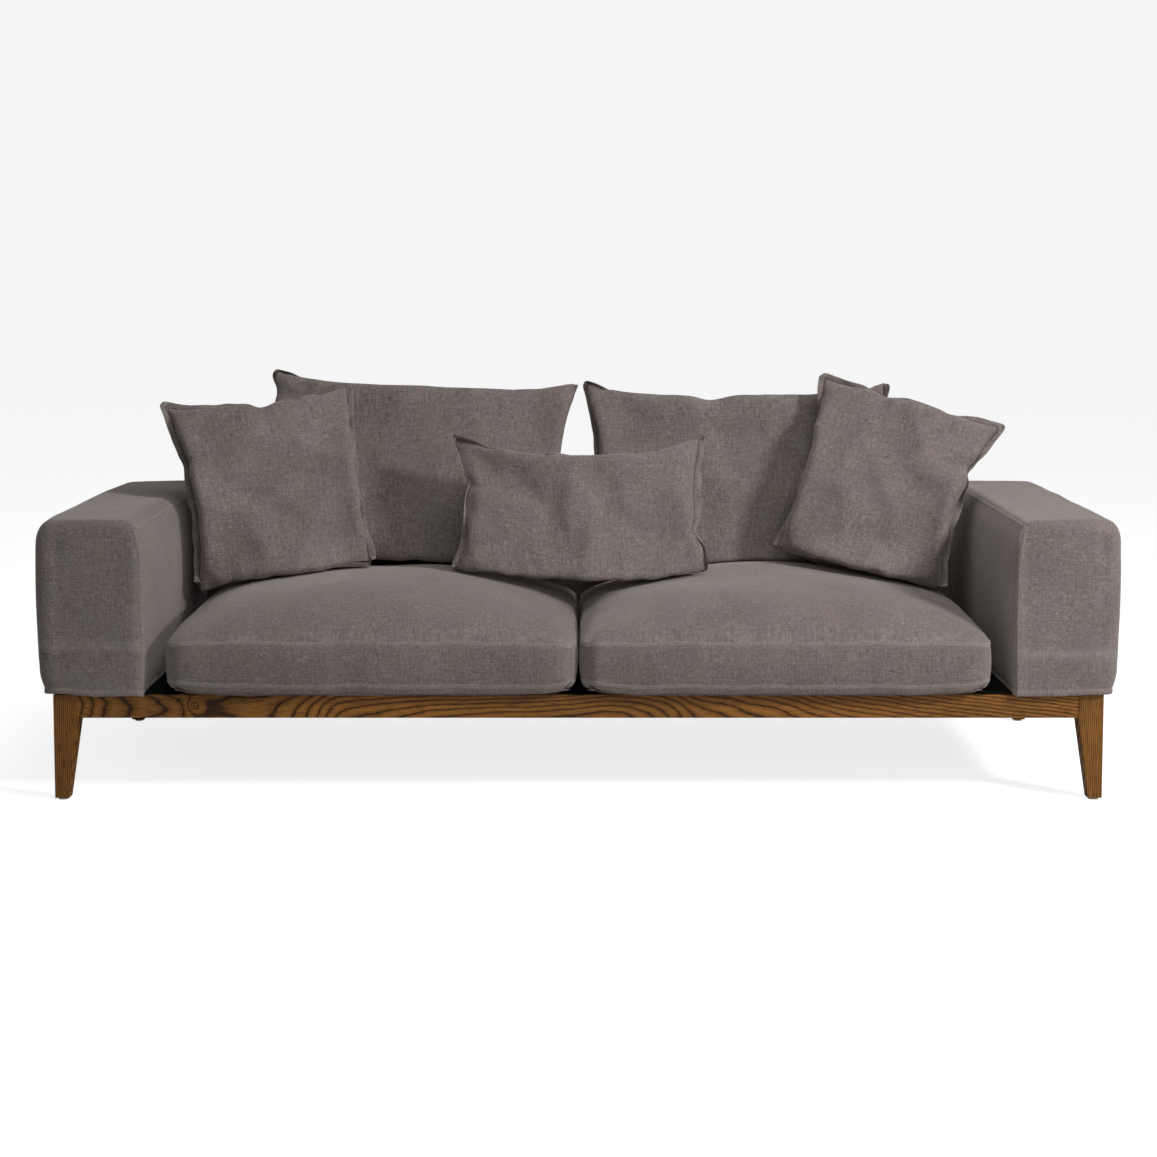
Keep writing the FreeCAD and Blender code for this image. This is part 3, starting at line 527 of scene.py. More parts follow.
def felled_seam(skin, path, width, height, wear_and_painted_light, closed=False, side=0.0):
    """A flat-felled seam: a low strip of doubled cloth along a path of the skin's points."""
    points = skin.points[path]
    outward = skin.normals()[path]
    if closed:
        along = np.roll(points, -1, 0) - np.roll(points, 1, 0)
    else:
        along = np.gradient(points, axis=0)
    across = unit(np.cross(outward, along))
    section = [(-0.5, -0.7), (-0.42, 0.7), (-0.15, 1.0), (0.15, 1.0), (0.42, 0.7), (0.5, -0.7)]
    rows = [points + across * (w + side) * width + outward * h * height for w, h in section]
    count, wide = len(points), len(section)
    verts = np.stack(rows, 1).reshape(-1, 3)
    index = np.arange(count * wide).reshape(count, wide)
    if closed:
        index = np.r_[index, index[:1]]
    quads = np.stack([index[:-1, :-1], index[:-1, 1:], index[1:, 1:], index[1:, :-1]], -1).reshape(-1, 4)
    run = np.r_[0, np.cumsum(np.linalg.norm(np.diff(points, axis=0), axis=1))]
    if closed:
        run = np.r_[run, run[-1] + np.linalg.norm(points[0] - points[-1])]
    strip = np.stack([np.stack([run, np.full(len(run), w * width)], -1) for w, _ in section], 1)
    corners = np.stack([strip[:-1, :-1], strip[:-1, 1:], strip[1:, 1:], strip[1:, :-1]], 2).reshape(-1, 4, 2)
    seam = Skin(verts, quads, corners, np.full(len(verts), wear_and_painted_light))
    facing = np.einsum("ij,ij->i", seam.normals()[wide // 2::wide], outward).sum()
    if facing < 0:
        seam.quads = seam.quads[:, ::-1]
        seam.cloth = seam.cloth[:, ::-1]
    return seam


def keep_clear(skin, trees, gap, rounds=4, reach=0.11):
    """Moves points that lie inside a neighbour out to its surface, and eases what is round them."""
    for turn in range(rounds):
        push = np.zeros_like(skin.points)
        for n, point in enumerate(skin.points.tolist()):
            place = Vector(point)
            for tree in trees:
                spot, normal, _, _ = tree.find_nearest(place, reach)
                if spot is None:
                    continue
                away = place - spot
                height = away.dot(normal)
                if abs(height) < 0.8 * away.length:
                    continue
                if height < gap:
                    push[n] += np.array(normal) * (gap - height)
        if turn < rounds - 1:
            eased = push
            for _ in range(3):
                eased = skin.averaged(eased)
            pushed = (np.linalg.norm(push, axis=1) > 0)[:, None]
            push = np.where(pushed, push, eased)
        skin.points = skin.points + push


# ---------------------------------------------------------------- seat cushions

SEAT_LOW, SEAT_HIGH = span("right_seat_cushion_cover")
SEAT_SLACK = 0.0036  # kept inside the solid, for the sides to swell into
SEAT_HALF = (SEAT_HIGH - SEAT_LOW)[:2] / 2 - SEAT_SLACK
SEAT_CORNER = 0.042  # radius in plan
SEAT_CROWN = 0.108  # above the upper seam
SEAT_LEVELS = SEAT_LOW[2] + np.array([0.0, 0.005, 0.0135, 0.0215, 0.0345, 0.0595, 0.0895, 0.1045, 0.1165])
SEAT_SWELL = np.array([-0.013, -0.006, -0.002, 0.0, 0.003, 0.0055, 0.0045, 0.002, 0.0])  # at each level
SEAT_SEAMS = (3, 8)  # the levels that are seams
SEATS = {"left_seat_cushion": 11, "right_seat_cushion": 23}  # their seeds


def crowded(count):
    """Marks from -1 to 1 that crowd towards the ends."""
    u = np.linspace(-1, 1, count + 1)
    return u * (1.35 - 0.35 * u * u)


def seat_cushion(name, seed):
    """A boxed cushion: domed top, a boxing band between two felled seams, a tucked lower edge."""
    low, high = span(f"{name}_cover")
    middle = (low + high) / 2
    a, b = SEAT_HALF
    box = Lattice(crowded(84) * a, crowded(68) * b, SEAT_LEVELS)
    x, y, z = box.rest.T
    s, t = x / a, y / b
    inner = np.clip(np.c_[x, y], (SEAT_CORNER - a, SEAT_CORNER - b), (a - SEAT_CORNER, b - SEAT_CORNER))
    beyond = np.c_[x, y] - inner
    longest = np.abs(beyond).max(1, keepdims=True)
    rounded = beyond * longest / np.linalg.norm(beyond, axis=1, keepdims=True).clip(1e-9)
    outward = unit(rounded)
    level = box.cell[:, 2]
    edge = (box.cell[:, :2] == 0).any(1) | (box.cell[:, :2] == box.last[:2]).any(1)
    swell = np.where(edge, SEAT_SWELL[level], 0.0)
    seat_face = np.minimum(np.abs(s), np.abs(t))
    swell *= 1 + np.where(swell > 0, -0.75, 1.30) * smooth_step(seat_face, 0.85, 1.0)
    plan = inner + rounded + outward * swell[:, None]
    plan *= np.where(level == 0, 0.985, 1.0)[:, None]
    top = level == box.last[2]
    crown = (1 - s ** 2).clip(0) ** 0.52 * (1 - np.abs(t) ** 2.6).clip(0) ** 0.50
    crown *= 1 + 0.02 * ripple(np.c_[x, y], 0.45, seed)
    height = np.where(top, z + SEAT_CROWN * crown, z)
    corner = (np.abs(s) ** 9 * np.abs(t) ** 9)
    height += 0.016 * corner * np.interp(z, [SEAT_LEVELS[0], SEAT_LEVELS[-1]], [1.0, -0.35])
    height += edge * 0.0016 * ripple(plan, 0.16, seed + 1)
    skin = Skin(np.c_[plan + middle[:2], height], box.quads, box.cloth)
    near = np.minimum(1 - np.abs(s), 1 - np.abs(t))
    pucker = ripple(np.c_[x, y, z * 0.2], 0.045, seed + 2) * np.exp(-near / 0.05) * 0.0006
    broad = ripple(np.c_[x, y, z], 0.26, seed + 3) * 0.0020
    resting = level == 0
    skin.lift(np.where(resting, 0.0, pucker + broad * (1 - np.exp(-near / 0.04))))
    skin.wear_and_painted_light = top * (0.30 * np.exp(-near / 0.012) + 0.10 * np.exp(-near / 0.06))
    rings = [box.around(level) for level in SEAT_SEAMS]
    for seam in [felled_seam(skin, ring, 0.0105, 0.0008, 0.50, closed=True) for ring in rings]:
        skin.add(seam)
    return skin


# ---------------------------------------------------------------- arms and back

HEM_HEIGHT = 0.0130
ARM_X, ARM_Y, ARM_Z = np.transpose(span("right_arm_cover"))
BACK_X, BACK_Y, BACK_Z = np.transpose(span("back_cover"))


def hemmed_levels(low, high, count):
    """Heights of a cover's rows, with close rows at its hem."""
    hem = low + np.array([0.0, 0.0015, HEM_HEIGHT - 0.003, HEM_HEIGHT - 0.001, HEM_HEIGHT + 0.001])
    rest = low + HEM_HEIGHT + 0.006 + (high - low - HEM_HEIGHT - 0.006) * np.linspace(0, 1, count) ** 0.93
    return np.r_[hem, rest]


def spaced(low, high, count):
    return (low + high) / 2 + (high - low) / 2 * crowded(count)


def soft_box(points, low, high, radii):
    """Rounds a box's edges except those at its foot. radii gives each point's three radii."""
    middle = (low + high) / 2
    half = (high - low) / 2
    away = points - middle
    core = np.clip(away, -(half - radii), half - radii)
    core[:, 2] = np.minimum(away[:, 2], half[2] - radii[:, 2])
    beyond = (away - core) / radii
    longest = np.abs(beyond).max(1, keepdims=True)
    length = (np.abs(beyond) ** 2.5).sum(1, keepdims=True) ** (1 / 2.5)
    return middle + core + beyond * longest / length.clip(1e-9) * radii


def hem_relief(z, low):
    """How far a hem stands proud, and its line of stitches sinks, by height."""
    band = 0.0013 * (z < low + HEM_HEIGHT - 0.002) * (z > low + 0.001)
    return band - 0.0011 * hill(z, low + HEM_HEIGHT, 0.0013)


def arm_cover(seed, fade, sign):
    """A box arm's loose cover, made for the right arm: outer side to +x."""
    box = Lattice(spaced(*ARM_X, 22), spaced(*ARM_Y, 76), hemmed_levels(*ARM_Z, 34))
    low, high = span("right_arm_cover")
    x, _, z = box.rest.T
    outer = smooth_step(x, ARM_X[0] + 0.05, ARM_X[1] - 0.05)
    crest = smooth_step(z, ARM_Z[1] - 0.10, ARM_Z[1] - 0.02)
    outer_edge = smooth_step(x, ARM_X[1] - 0.07, ARM_X[1])
    inner_edge = smooth_step(-x, -ARM_X[0] - 0.07, -ARM_X[0])
    radii = np.c_[
        (0.012 + 0.034 * outer) * (1 - crest) + 0.048 * crest,
        0.012 + 0.022 * outer,
        0.016 + 0.044 * np.maximum(outer_edge, inner_edge),
    ]
    points = soft_box(box.rest, low, high, radii)
    px, py, pz = points.T
    height = (pz - ARM_Z[0]) / (ARM_Z[1] - ARM_Z[0])
    depth = (py - ARM_Y[0]) / (ARM_Y[1] - ARM_Y[0])
    full = (4 * depth * (1 - depth)).clip(0) ** 0.5
    belly = (np.sin(math.pi * height.clip(0, 1)) ** 0.8) * full
    inner_side = smooth_step(-px, -(ARM_X[0] + 0.06), -(ARM_X[0] + 0.004))
    points[:, 0] -= inner_side * belly * 0.024
    taper = np.interp(height, [0, 0.04, 0.11, 0.22, 0.6, 1.0], [-0.0145, -0.0125, -0.0035, 0.0, 0.0, -0.001])
    points[:, 0] += smooth_step(px, ARM_X[1] - 0.12, ARM_X[1] - 0.01) * taper
    face = smooth_step(-py, -ARM_Y[0] - 0.065, -ARM_Y[0] - 0.005)
    points[:, 1] -= face * np.sin(math.pi * height.clip(0, 1)) * 0.003
    points[:, 2] += smooth_step(pz, ARM_Z[1] - 0.08, ARM_Z[1]) * (full - 1) * 0.003
    skin = Skin(points, box.quads, box.cloth)
    skin.lift(hem_relief(z, ARM_Z[0]) * (box.cell[:, 2] > 0))
    seen = smooth_step(z, ARM_Z[0] + 0.02, ARM_Z[0] + 0.08)
    skin.lift(ripple(points, 0.34, seed) * 0.0010 * seen + ripple(points, 0.11, seed + 1) * 0.0003 * seen)
    skin.points[:, 2] += (pz < ARM_Z[0] + 0.02) * ripple(points[:, :2], 0.17, seed + 2) * 0.0016
    before = py < ARM_Y[0] + 0.045
    fold = ARM_X[1] - 0.048
    crease = hill(points[:, 0], fold, 0.005) * before * smooth_step(z, ARM_Z[0] + 0.013, ARM_Z[0] + 0.093)
    dent = hill(points[:, 0], fold, 0.012) * hill(z, ARM_Z[1] - 0.068, 0.02) * before
    skin.lift(-0.0018 * crease - 0.0050 * dent)
    front = smooth_step(-points[:, 1], -ARM_Y[0] - 0.02, -ARM_Y[0] - 0.005)
    band = hill(z, fade, 0.009)
    stitched = hill(points[:, 0], ARM_X[0] + 0.013, 0.005) + 0.9 * hill(points[:, 0], ARM_X[0], 0.016)
    skin.wear_and_painted_light = front * (band * 0.60 + stitched * 0.32) + 0.20 * crease
    skin.wear_and_painted_light += 0.30 * hill(z, ARM_Z[0] + HEM_HEIGHT, 0.003)
    skin.lift(0.0009 * band * front)
    underneath = (box.cell[:, 2] == 0) & (box.cell[:, 0] > 0) & (box.cell[:, 0] < box.last[0])
    underneath &= (box.cell[:, 1] > 0) & (box.cell[:, 1] < box.last[1])
    skin.points[underneath, 2] += 0.004
    up = box.index[0, 0, :]
    back = box.index[0, 1:, box.last[2]]
    down = box.index[0, box.last[1], :][::-1][1:]
    panel = felled_seam(skin, np.r_[up, back, down], 0.0085, 0.0010, 0.34, side=-0.3 * sign)
    outline = np.r_[box.index[-1, box.last[1], :], box.index[:-1, box.last[1], box.last[2]][::-1]]
    rear = felled_seam(skin, outline, 0.0085, 0.0010, 0.30)
    skin.add(panel)
    skin.add(rear)
    return skin


def back_cover(seed):
    """The cover of the low back between the arms."""
    box = Lattice(spaced(*BACK_X, 150), spaced(*BACK_Y, 16), hemmed_levels(*BACK_Z, 30))
    low, high = span("back_cover")
    x, _, z = box.rest.T
    ends = smooth_step(np.abs(x), 0.90, 0.96)
    crest = smooth_step(z, BACK_Z[1] - 0.10, BACK_Z[1] - 0.02)
    radii = np.c_[np.full_like(x, 0.010), 0.014 + 0.024 * crest * (1 - ends), 0.034 - 0.020 * ends]
    skin = Skin(soft_box(box.rest, low, high, radii), box.quads, box.cloth)
    skin.lift(hem_relief(z, BACK_Z[0]) * (box.cell[:, 2] > 0))
    seen = smooth_step(z, BACK_Z[0] + 0.02, BACK_Z[0] + 0.08)
    skin.lift(ripple(box.rest, 0.30, seed) * 0.0020 * seen)
    skin.points[:, 2] += (z < BACK_Z[0] + 0.02) * ripple(box.rest[:, :2], 0.2, seed + 2) * 0.0012
    skin.wear_and_painted_light = 0.30 * hill(z, BACK_Z[0] + HEM_HEIGHT, 0.003)
    rear = box.index[:, -1, box.last[2]]
    skin.add(felled_seam(skin, rear, 0.0085, 0.0010, 0.34))
    return skin


# ---------------------------------------------------------------- loose cushions

HEM = 0.017  # from the stitches to the edge
HEM_THICK = 0.0034
STITCH_THICK = 0.0014
LOBE = 0.030  # radius of a corner
DOME = 1.45  # over 1, the fill falls away faster from its crown
EDGE_ROWS = (0.0, 0.55, 1.0, 1.65, 2.0, 2.2, 2.5)  # rows of cloth near an edge; 2 is the line of stitches
# Places and sizes come from each cushion's CAD box. turn repeats the CAD's roll, lean and yaw, in degrees.
# pull draws in the left, right, top and foot edges, ear says how late that fades beside and above, and
# corners moves the corners from the top left, clockwise. Pinches and folds are (edge, place, depth, width).
CUSHIONS = {
    "left_back_cushion": dict(
        turn=(2.5, 15.0, 0.0), thick=0.158, slump=0.30,
        sag=0.2, tuck=1, seed=31, pull=(0.022, 0.044, 0.044, 0.0), ear=(2.4, 4.5),
        corners=((-0.004, 0.006), (0.004, 0.006), (0.0, 0.0), (0.0, 0.0)),
        pinches=(("left", 0.74, 0.010, 0.07),),
        folds=(("top", 0.72, 0.006, 0.030), ("top", -0.62, 0.005, 0.035), ("right", 0.5, 0.005, 0.04)),
        near=("left_seat_cushion", "back"),
    ),
    "right_back_cushion": dict(
        turn=(0.0, 15.0, 0.0), thick=0.154, slump=0.30,
        sag=0.2, tuck=1, seed=37, pull=(0.036, 0.026, 0.050, 0.0), ear=(2.4, 3.8),
        corners=((-0.004, 0.006), (0.004, 0.006), (0.0, 0.0), (0.0, 0.0)),
        pinches=(("top", -0.16, 0.010, 0.10),),
        folds=(("top", -0.74, 0.008, 0.020), ("top", -0.34, 0.006, 0.018), ("top", -0.24, 0.006, 0.020),
               ("top", 0.11, 0.008, 0.022), ("top", 0.27, 0.006, 0.018), ("top", 0.62, 0.006, 0.03)),
        near=("right_seat_cushion", "back"),
    ),
    "left_pillow": dict(
        turn=(-6.0, 24.0, 12.0), thick=0.130, slump=0.30,
        sag=0.35, tuck=-1, seed=43, pull=(0.032, 0.018, 0.026, 0.0), ear=(2.6, 3.0),
        corners=((-0.016, 0.014), (0.012, 0.004), (-0.004, -0.018), (0.004, -0.020)),
        pinches=(("top", 0.00, 0.016, 0.09), ("left", 0.28, 0.008, 0.07)),
        folds=(("top", 0.02, 0.009, 0.035), ("left", 0.26, 0.006, 0.03), ("left", -0.4, 0.004, 0.03)),
        near=("left_seat_cushion", "left_arm", "left_back_cushion"),
    ),
    "right_pillow": dict(
        turn=(14.0, 26.0, -11.0), thick=0.130, slump=0.30,
        sag=0.35, tuck=-1, seed=47, pull=(0.030, 0.044, 0.012, 0.0), ear=(2.6, 3.0),
        corners=((-0.016, 0.010), (0.018, -0.008), (-0.006, -0.018), (0.003, -0.022)),
        pinches=(("right", 0.36, 0.018, 0.10), ("top", 0.42, 0.008, 0.09), ("top", -0.25, 0.008, 0.08)),
        folds=(("right", 0.36, 0.010, 0.030), ("top", -0.25, 0.005, 0.03), ("right", 0.62, 0.004, 0.03)),
        near=("right_seat_cushion", "right_arm", "right_back_cushion"),
    ),
    "lumbar_pillow": dict(
        turn=(0.0, 26.0, 0.0), thick=0.120, slump=0.26,
        sag=0.65, tuck=1, seed=53, pull=(0.042, 0.020, 0.056, -0.012), ear=(2.6, 2.8),
        corners=((-0.014, 0.008), (0.008, 0.010), (0.006, -0.008), (-0.004, 0.008)),
        pinches=(("left", 0.26, 0.012, 0.08), ("right", -0.35, 0.014, 0.09)),
        folds=(("left", 0.24, 0.008, 0.03), ("left", -0.15, 0.005, 0.03), ("right", -0.35, 0.007, 0.03),
               ("top", -0.5, 0.004, 0.02), ("top", 0.1, 0.004, 0.02)),
        near=("left_seat_cushion", "right_seat_cushion", "left_back_cushion", "right_back_cushion"),
    ),
}
CLOTH_FRAMES = 28


def grid_quads(index):
    return np.stack([index[:-1, :-1], index[1:, :-1], index[1:, 1:], index[:-1, 1:]], -1).reshape(-1, 4)


class Envelope:
    """Two layers of cloth sewn together inside a hem, laid flat."""

    def __init__(self, width, height, step, puff):
        self.xs, self.zs = self.marks(width, step), self.marks(height, step)
        self.shape = (len(self.xs), len(self.zs))
        flat_x, flat_z = np.meshgrid(self.xs, self.zs, indexing="ij")
        u = np.clip(flat_x / (width / 2), -1, 1)
        v = np.clip(flat_z / (height / 2), -1, 1)
        rise = puff * (1 - u ** 2) * (1 - v ** 2)
        inside = np.zeros(self.shape, bool)
        inside[3:-3, 3:-3] = True
        self.front = np.arange(flat_x.size).reshape(self.shape)
        self.back = self.front.copy()
        self.back[inside] = np.arange(inside.sum()) + flat_x.size
        front = np.c_[flat_x.ravel(), -rise.ravel(), flat_z.ravel()]
        back = np.c_[flat_x[inside], rise[inside], flat_z[inside]]
        self.points = np.r_[front, back]
        pouch = (slice(2, -2), slice(2, -2))
        self.quads = np.r_[grid_quads(self.front), grid_quads(self.back[pouch])[:, ::-1]]
        self.filled = np.unique(np.r_[self.front[pouch].ravel(), self.back[pouch].ravel()])

    @staticmethod
    def marks(size, step):
        inner = np.linspace(-size / 2, size / 2, max(4, round(size / step)) + 1)
        hem = size / 2 + np.array([HEM / 2, HEM])
        return np.r_[-hem[::-1], inner, hem]


def inflate(envelope, volume):
    """Fills an envelope to a volume with Blender's cloth, and gives its points."""
    mesh = bpy.data.meshes.new("cloth")
    mesh.from_pydata(envelope.points.tolist(), [], envelope.quads.tolist())
    cloth = bpy.data.objects.new("cloth", mesh)
    scene = bpy.context.scene
    scene.collection.objects.link(cloth)
    group = cloth.vertex_groups.new(name="filled")
    group.add([int(n) for n in envelope.filled], 1.0, "REPLACE")
    modifier = cloth.modifiers.new("cloth", "CLOTH")
    settings = modifier.settings
    settings.quality = 8
    settings.mass = 0.3
    settings.tension_stiffness = 40
    settings.compression_stiffness = 20
    settings.shear_stiffness = 10
    settings.bending_stiffness = 0.5
    settings.tension_damping = 15
    settings.compression_damping = 15
    settings.shear_damping = 15
    settings.bending_damping = 1
    settings.air_damping = 4
    settings.use_pressure = True
    settings.uniform_pressure_force = 0
    settings.use_pressure_volume = True
    settings.target_volume = volume
    settings.pressure_factor = 10
    settings.vertex_group_pressure = "filled"
    settings.effector_weights.gravity = 0
    modifier.collision_settings.use_collision = False
    modifier.point_cache.frame_start = 1
    modifier.point_cache.frame_end = CLOTH_FRAMES
    for number in range(1, CLOTH_FRAMES + 1):
        scene.frame_set(number)
    shown = cloth.evaluated_get(bpy.context.evaluated_depsgraph_get())
    found = np.zeros(len(envelope.points) * 3, np.float32)
    shown.data.vertices.foreach_get("co", found)
    bpy.data.objects.remove(cloth)
    scene.frame_set(1)
    return found.reshape(-1, 3).astype(float)


def turned(points, roll, lean, yaw):
    """Rolls about the view axis, leans back, then turns about the vertical, in degrees."""
    r, l, w = (math.radians(angle) for angle in (roll, lean, yaw))
    rolled = np.array([[math.cos(r), 0, math.sin(r)], [0, 1, 0], [-math.sin(r), 0, math.cos(r)]])
    leaned = np.array([[1, 0, 0], [0, math.cos(l), math.sin(l)], [0, -math.sin(l), math.cos(l)]])
    turning = np.array([[math.cos(w), -math.sin(w), 0], [math.sin(w), math.cos(w), 0], [0, 0, 1]])
    return points @ (turning @ leaned @ rolled).T


def close_rows(count):
    """Places along a grid's rows, closer together at its hem and stitches."""
    near = np.array(EDGE_ROWS)
    return np.r_[near, np.arange(3, count - 3), count - 1 - near[::-1]]


def sampled(grid, places, axis):
    """A grid read at fractional places along an axis."""
    low = np.floor(places).astype(int).clip(0, grid.shape[axis] - 2)
    shape = [1] * grid.ndim
    shape[axis] = len(places)
    part = (places - low).reshape(shape)
    return np.take(grid, low, axis) * (1 - part) + np.take(grid, low + 1, axis) * part


class Pillow:
    """A filled envelope as a middle sheet and the cloth's distance before and behind it."""

    def __init__(self, envelope, points, facts):
        columns, rows = (close_rows(count) for count in envelope.shape)
        front, back, flat = (
            sampled(sampled(grid, columns, 0), rows, 1)
            for grid in (points[envelope.front], points[envelope.back], envelope.points[envelope.front])
        )
        self.facts = facts
        self.flat = flat[..., [0, 2]]
        self.u = flat[..., 0] / envelope.xs[-1]
        self.v = flat[..., 2] / envelope.zs[-1]
        in_x = np.minimum(columns, columns[::-1])[:, None]
        in_z = np.minimum(rows, rows[::-1])[None, :]
        self.ring = np.minimum(in_x, in_z)
        self.middle = (front + back) / 2
        self.puff = (back - front)[..., 1].clip(0) / 2
        self.body = smooth_step(self.ring, 2.0, 2.5)

    def shape(self):
        self.dome()
        self.fit_outline()
        self.gather()
        self.move_corners()

    def dome(self):
        """Brings the fill to its thickness, falling away from the crown, and steep beside the stitches."""
        fullest = self.puff.max()
        self.puff = self.facts["thick"] / 2 * (self.puff / fullest) ** DOME
        steep = np.interp(self.ring, [2, 2.2, 2.5, 3, 4], [1, 2.6, 1.9, 1.35, 1.0])
        self.puff *= 1 + (steep - 1) * (1 - smooth_step(-self.v, 0.5, 0.9))
        self.puff *= 1 - self.facts["slump"] * self.v

    def fit_outline(self):
        """Brings the edges to the cushion's size, drawn in between the corners."""
        half = np.array(self.facts["size"]) / 2
        x, z = self.middle[..., 0], self.middle[..., 2]
        square = half * np.stack([
            np.clip((x - x[:1]) / (x[-1:] - x[:1]) * 2 - 1, -1, 1),
            np.clip((z - z[:, :1]) / (z[:, -1:] - z[:, :1]) * 2 - 1, -1, 1),
        ], -1)
        beyond = square - np.clip(square, LOBE - half, half - LOBE)
        longest = np.abs(beyond).max(-1, keepdims=True)
        length = np.linalg.norm(beyond, axis=-1, keepdims=True).clip(1e-9)
        rounded = square - beyond * (1 - longest / length)
        self.u, self.v = rounded[..., 0] / half[0], rounded[..., 1] / half[1]
        left, right, top, foot = self.facts["pull"]
        side_ear, top_ear = self.facts["ear"]
        beside, above = 1 - np.abs(self.v) ** side_ear, 1 - np.abs(self.u) ** top_ear
        self.middle[..., 0] = rounded[..., 0] + beside * (left * (1 - self.u) - right * (1 + self.u)) / 2
        self.middle[..., 2] = rounded[..., 1] + above * (foot * (1 - self.v) - top * (1 + self.v)) / 2

    def side(self, edge):
        """For an edge: how far out and along it each point is, and the axis and sign that lead inward."""
        u, v = self.u, self.v
        sides = {"left": (-u, v, 0, 1), "right": (u, v, 0, -1), "top": (v, u, 2, -1), "foot": (-v, u, 2, 1)}
        return sides[edge]

    def gather(self):
        """Draws the edge in at its pinches, and lays the folds that run in from it."""
        for edge, place, depth, width in self.facts["pinches"]:
            out, run, axis, sign = self.side(edge)
            inward = (1 - out).clip(0)
            self.middle[..., axis] += sign * depth * hill(run, place, width) * np.exp(-inward / 0.15)
            self.puff *= 1 - 0.30 * hill(run, place, width) * np.exp(-inward / 0.25)
        for edge, place, depth, width in self.facts["folds"]:
            out, run, axis, sign = self.side(edge)
            inward = (1 - out).clip(0)
            valley = hill(run, place, width) - 0.5 * hill(run, place - 2.2 * width, width)
            self.puff -= depth * valley * np.exp(-inward / 0.22) * self.body

    def move_corners(self):
        for (dx, dz), (across, up) in zip(self.facts["corners"], ((-1, 1), (1, 1), (1, -1), (-1, -1))):
            share = ((1 + across * self.u).clip(0) * (1 + up * self.v).clip(0) / 4) ** 1.5
            self.middle[..., 0] += share * dx
            self.middle[..., 2] += share * dz

    def ruffle(self):
        """Waves in the hem, puckers beside the stitches, and broad unevenness of the fill."""
        seed = self.facts["seed"]
        half = np.array(self.facts["size"]) / 2
        plane = self.middle[..., [0, 2]].reshape(-1, 2)
        sway = np.interp(self.ring, [0, 2, 4], [1.0, 0.4, 0.0])
        wave = ripple(plane, 0.085, seed).reshape(self.ring.shape)
        self.middle[..., 1] += wave * 0.0055 * sway
        outward = unit(self.middle[..., [0, 2]])
        inout = ripple(plane, 0.060, seed + 1).reshape(self.ring.shape)
        self.middle[..., [0, 2]] += outward * (inout * 0.0018 * sway)[..., None]
        pucker = np.zeros(self.ring.shape)
        for axis, other in ((0, 1), (1, 0)):
            run = ripple(plane[:, axis:axis + 1], 0.040, seed + 2 + axis).reshape(self.ring.shape)
            away = half[other] - np.abs(plane[:, other]).reshape(self.ring.shape)
            pucker += run * np.exp(-(away - HEM).clip(0) / 0.030)
        self.puff += pucker * 0.0014 * self.body
        fill = ripple(plane, 0.19, seed + 5).reshape(self.ring.shape)
        self.puff += fill * 0.0020 * smooth_step(self.ring, 3, 8)

    def skin(self):
        """The middle sheet given its thickness: front and back layers, joined round the hem's rim."""
        nx, nz = self.ring.shape
        least = np.interp(self.ring, [0, 1.65, 2, 2.5], [HEM_THICK, HEM_THICK, STITCH_THICK, 0.004]) / 2
        depth = np.maximum(self.puff, least)[..., None] * (0, 1, 0)
        hang = self.facts["sag"] * self.puff * smooth_step(-self.v, 0.2, 0.9)
        droop = hang[..., None] * (0, 0, 1)
        count = nx * nz
        index = np.arange(count).reshape(nx, nz)
        rim = np.r_[index[:-1, 0], index[-1, :-1], index[:0:-1, -1], index[0, :0:-1]]
        after = np.roll(rim, -1)
        side = np.stack([rim, rim + count, after + count, after], -1)
        quads = np.r_[grid_quads(index), grid_quads(index + count)[:, ::-1], side]
        flat = self.flat.reshape(-1, 2)
        cloth = np.r_[flat, flat * (-1, 1) + (2.7, 0)][quads]
        cloth[-len(side):] = flat[side % count]
        # by ring: a lighter hem edge from wear, a painted shade line at the stitches, and a painted
        # highlight on the body just inside them
        worn_and_painted_light = [0.25, 0.05, -0.15, -0.80, -0.45, 0.12, 0.0]
        wear_and_painted_light = np.interp(self.ring, [0, 1, 1.65, 2, 2.2, 2.5, 3], worn_and_painted_light)
        sheets = np.r_[(self.middle - depth - droop).reshape(-1, 3), (self.middle + depth).reshape(-1, 3)]
        return Skin(sheets, quads, cloth, np.r_[wear_and_painted_light.ravel(), wear_and_painted_light.ravel()])


def tucked(points, ring, fold, tuck):
    """Folds the bottom hem under (tuck 1) or out in front (tuck -1), where a cushion stands on the seat."""
    below = (fold - points[:, 2]).clip(0) * (ring < 2.1)
    points[:, 1] += below * 0.83 * tuck
    points[:, 2] += below * (0.70 if tuck > 0 else 0.44)


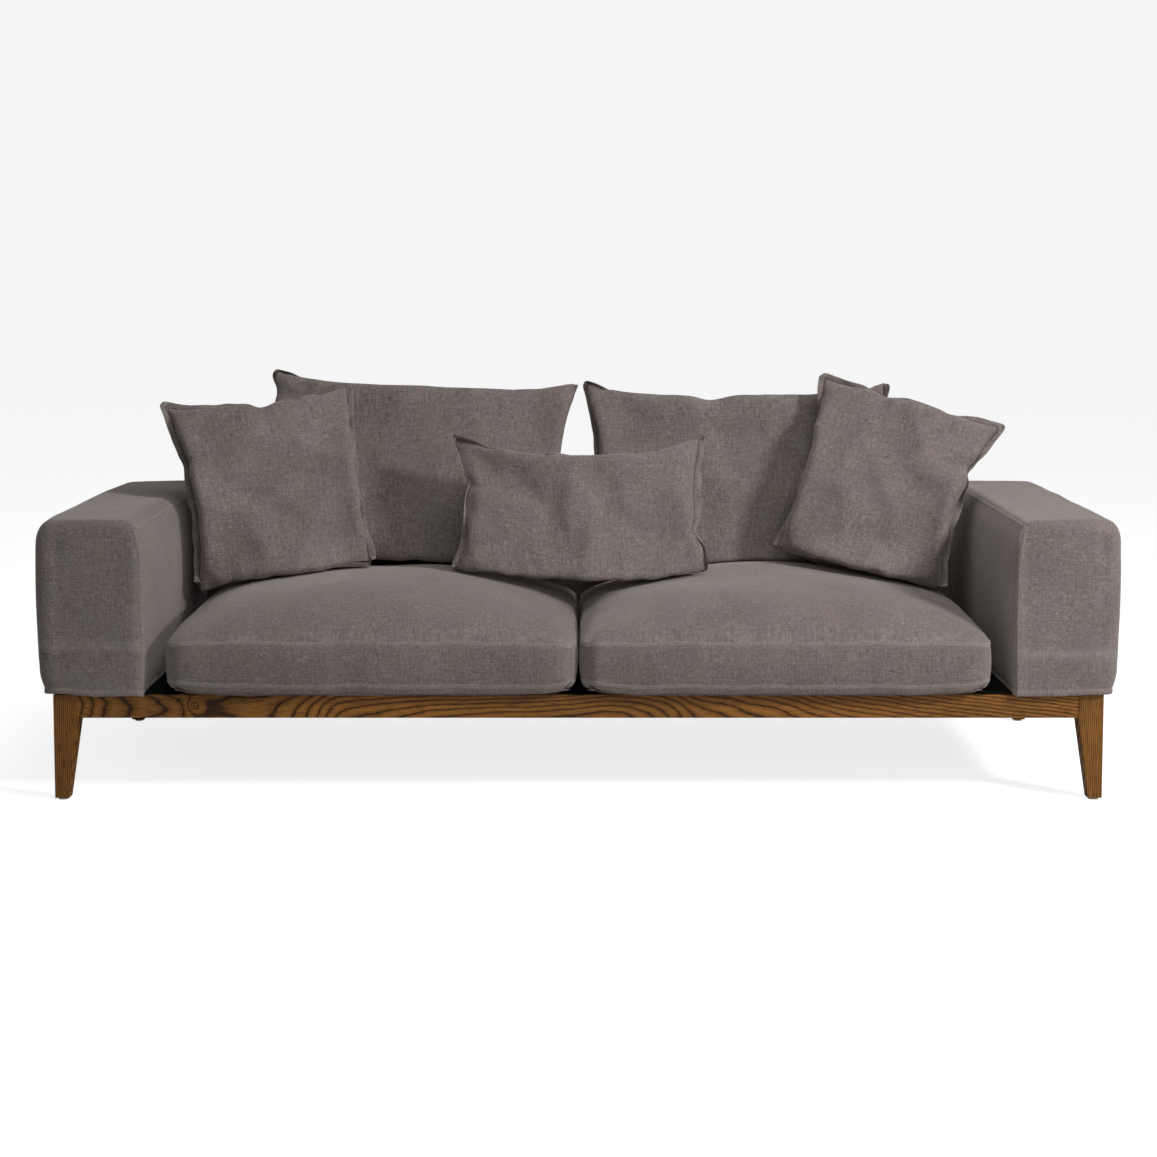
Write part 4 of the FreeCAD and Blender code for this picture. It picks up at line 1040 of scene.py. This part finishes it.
def upright_size(turn, extent):
    """The width and height of a thin cushion whose box has this extent once it is turned."""
    across, up = np.abs(turned(np.array([(1.0, 0.0, 0.0), (0.0, 0.0, 1.0)]), *turn))
    return np.linalg.solve([(across[0], up[0]), (across[2], up[2])], (extent[0], extent[2]))


def loose_cushion(name, facts, neighbours):
    """A filled cushion in the middle of its CAD solid, as wide and as high as it is."""
    low, high = span(f"{name}_cover")
    width, height = upright_size(facts["turn"], high - low)
    facts = dict(facts, size=(width, height))
    inner = (width - 2 * HEM + 0.010, height - 2 * HEM + 0.010)
    step = 0.0125 if width < 0.7 else 0.0150
    envelope = Envelope(*inner, step, 0.02)
    points = inflate(envelope, facts["thick"] * 0.47 * inner[0] * inner[1])
    pillow = Pillow(envelope, points, facts)
    pillow.shape()
    pillow.ruffle()
    skin = pillow.skin()
    tucked(skin.points, np.r_[pillow.ring.ravel(), pillow.ring.ravel()], HEM - height / 2, facts["tuck"])
    skin.points = turned(skin.points, *facts["turn"]) + (low + high) / 2
    keep_clear(skin, neighbours, 0.0015)
    return skin


# ---------------------------------------------------------------- assembly

bpy.context.scene.view_settings.view_transform = "Standard"
make_camera()
make_world()
make_lights()
make_floor()
LINEN = linen()
paint_cad_nodes()

trees = {}
for name, seed in SEATS.items():
    cushion = seat_cushion(name, seed)
    trees[name] = cushion.tree()
    cushion.make(name, name, [f"{name}_cover", f"{name}_foam"], 0.8)
for side, sign, fade, seed in (("left", -1, 0.350, 61), ("right", 1, 0.330, 67)):
    arm = arm_cover(seed, fade, sign)
    if sign < 0:
        arm.mirror()
    trees[f"{side}_arm"] = arm.tree()
    arm.make(f"{side}_arm", "frame", [f"{side}_arm_cover", f"{side}_arm_foam"], 0.9)
back = back_cover(71)
trees["back"] = back.tree()
back.make("back", "frame", ["back_cover", "back_foam"], 0.9)
for name, facts in CUSHIONS.items():
    cushion = loose_cushion(name, facts, [trees[other] for other in facts["near"]])
    trees[name] = cushion.tree()
    cushion.make(name, name, [f"{name}_cover", f"{name}_insert"], 0.7)

bpy.context.view_layer.update()
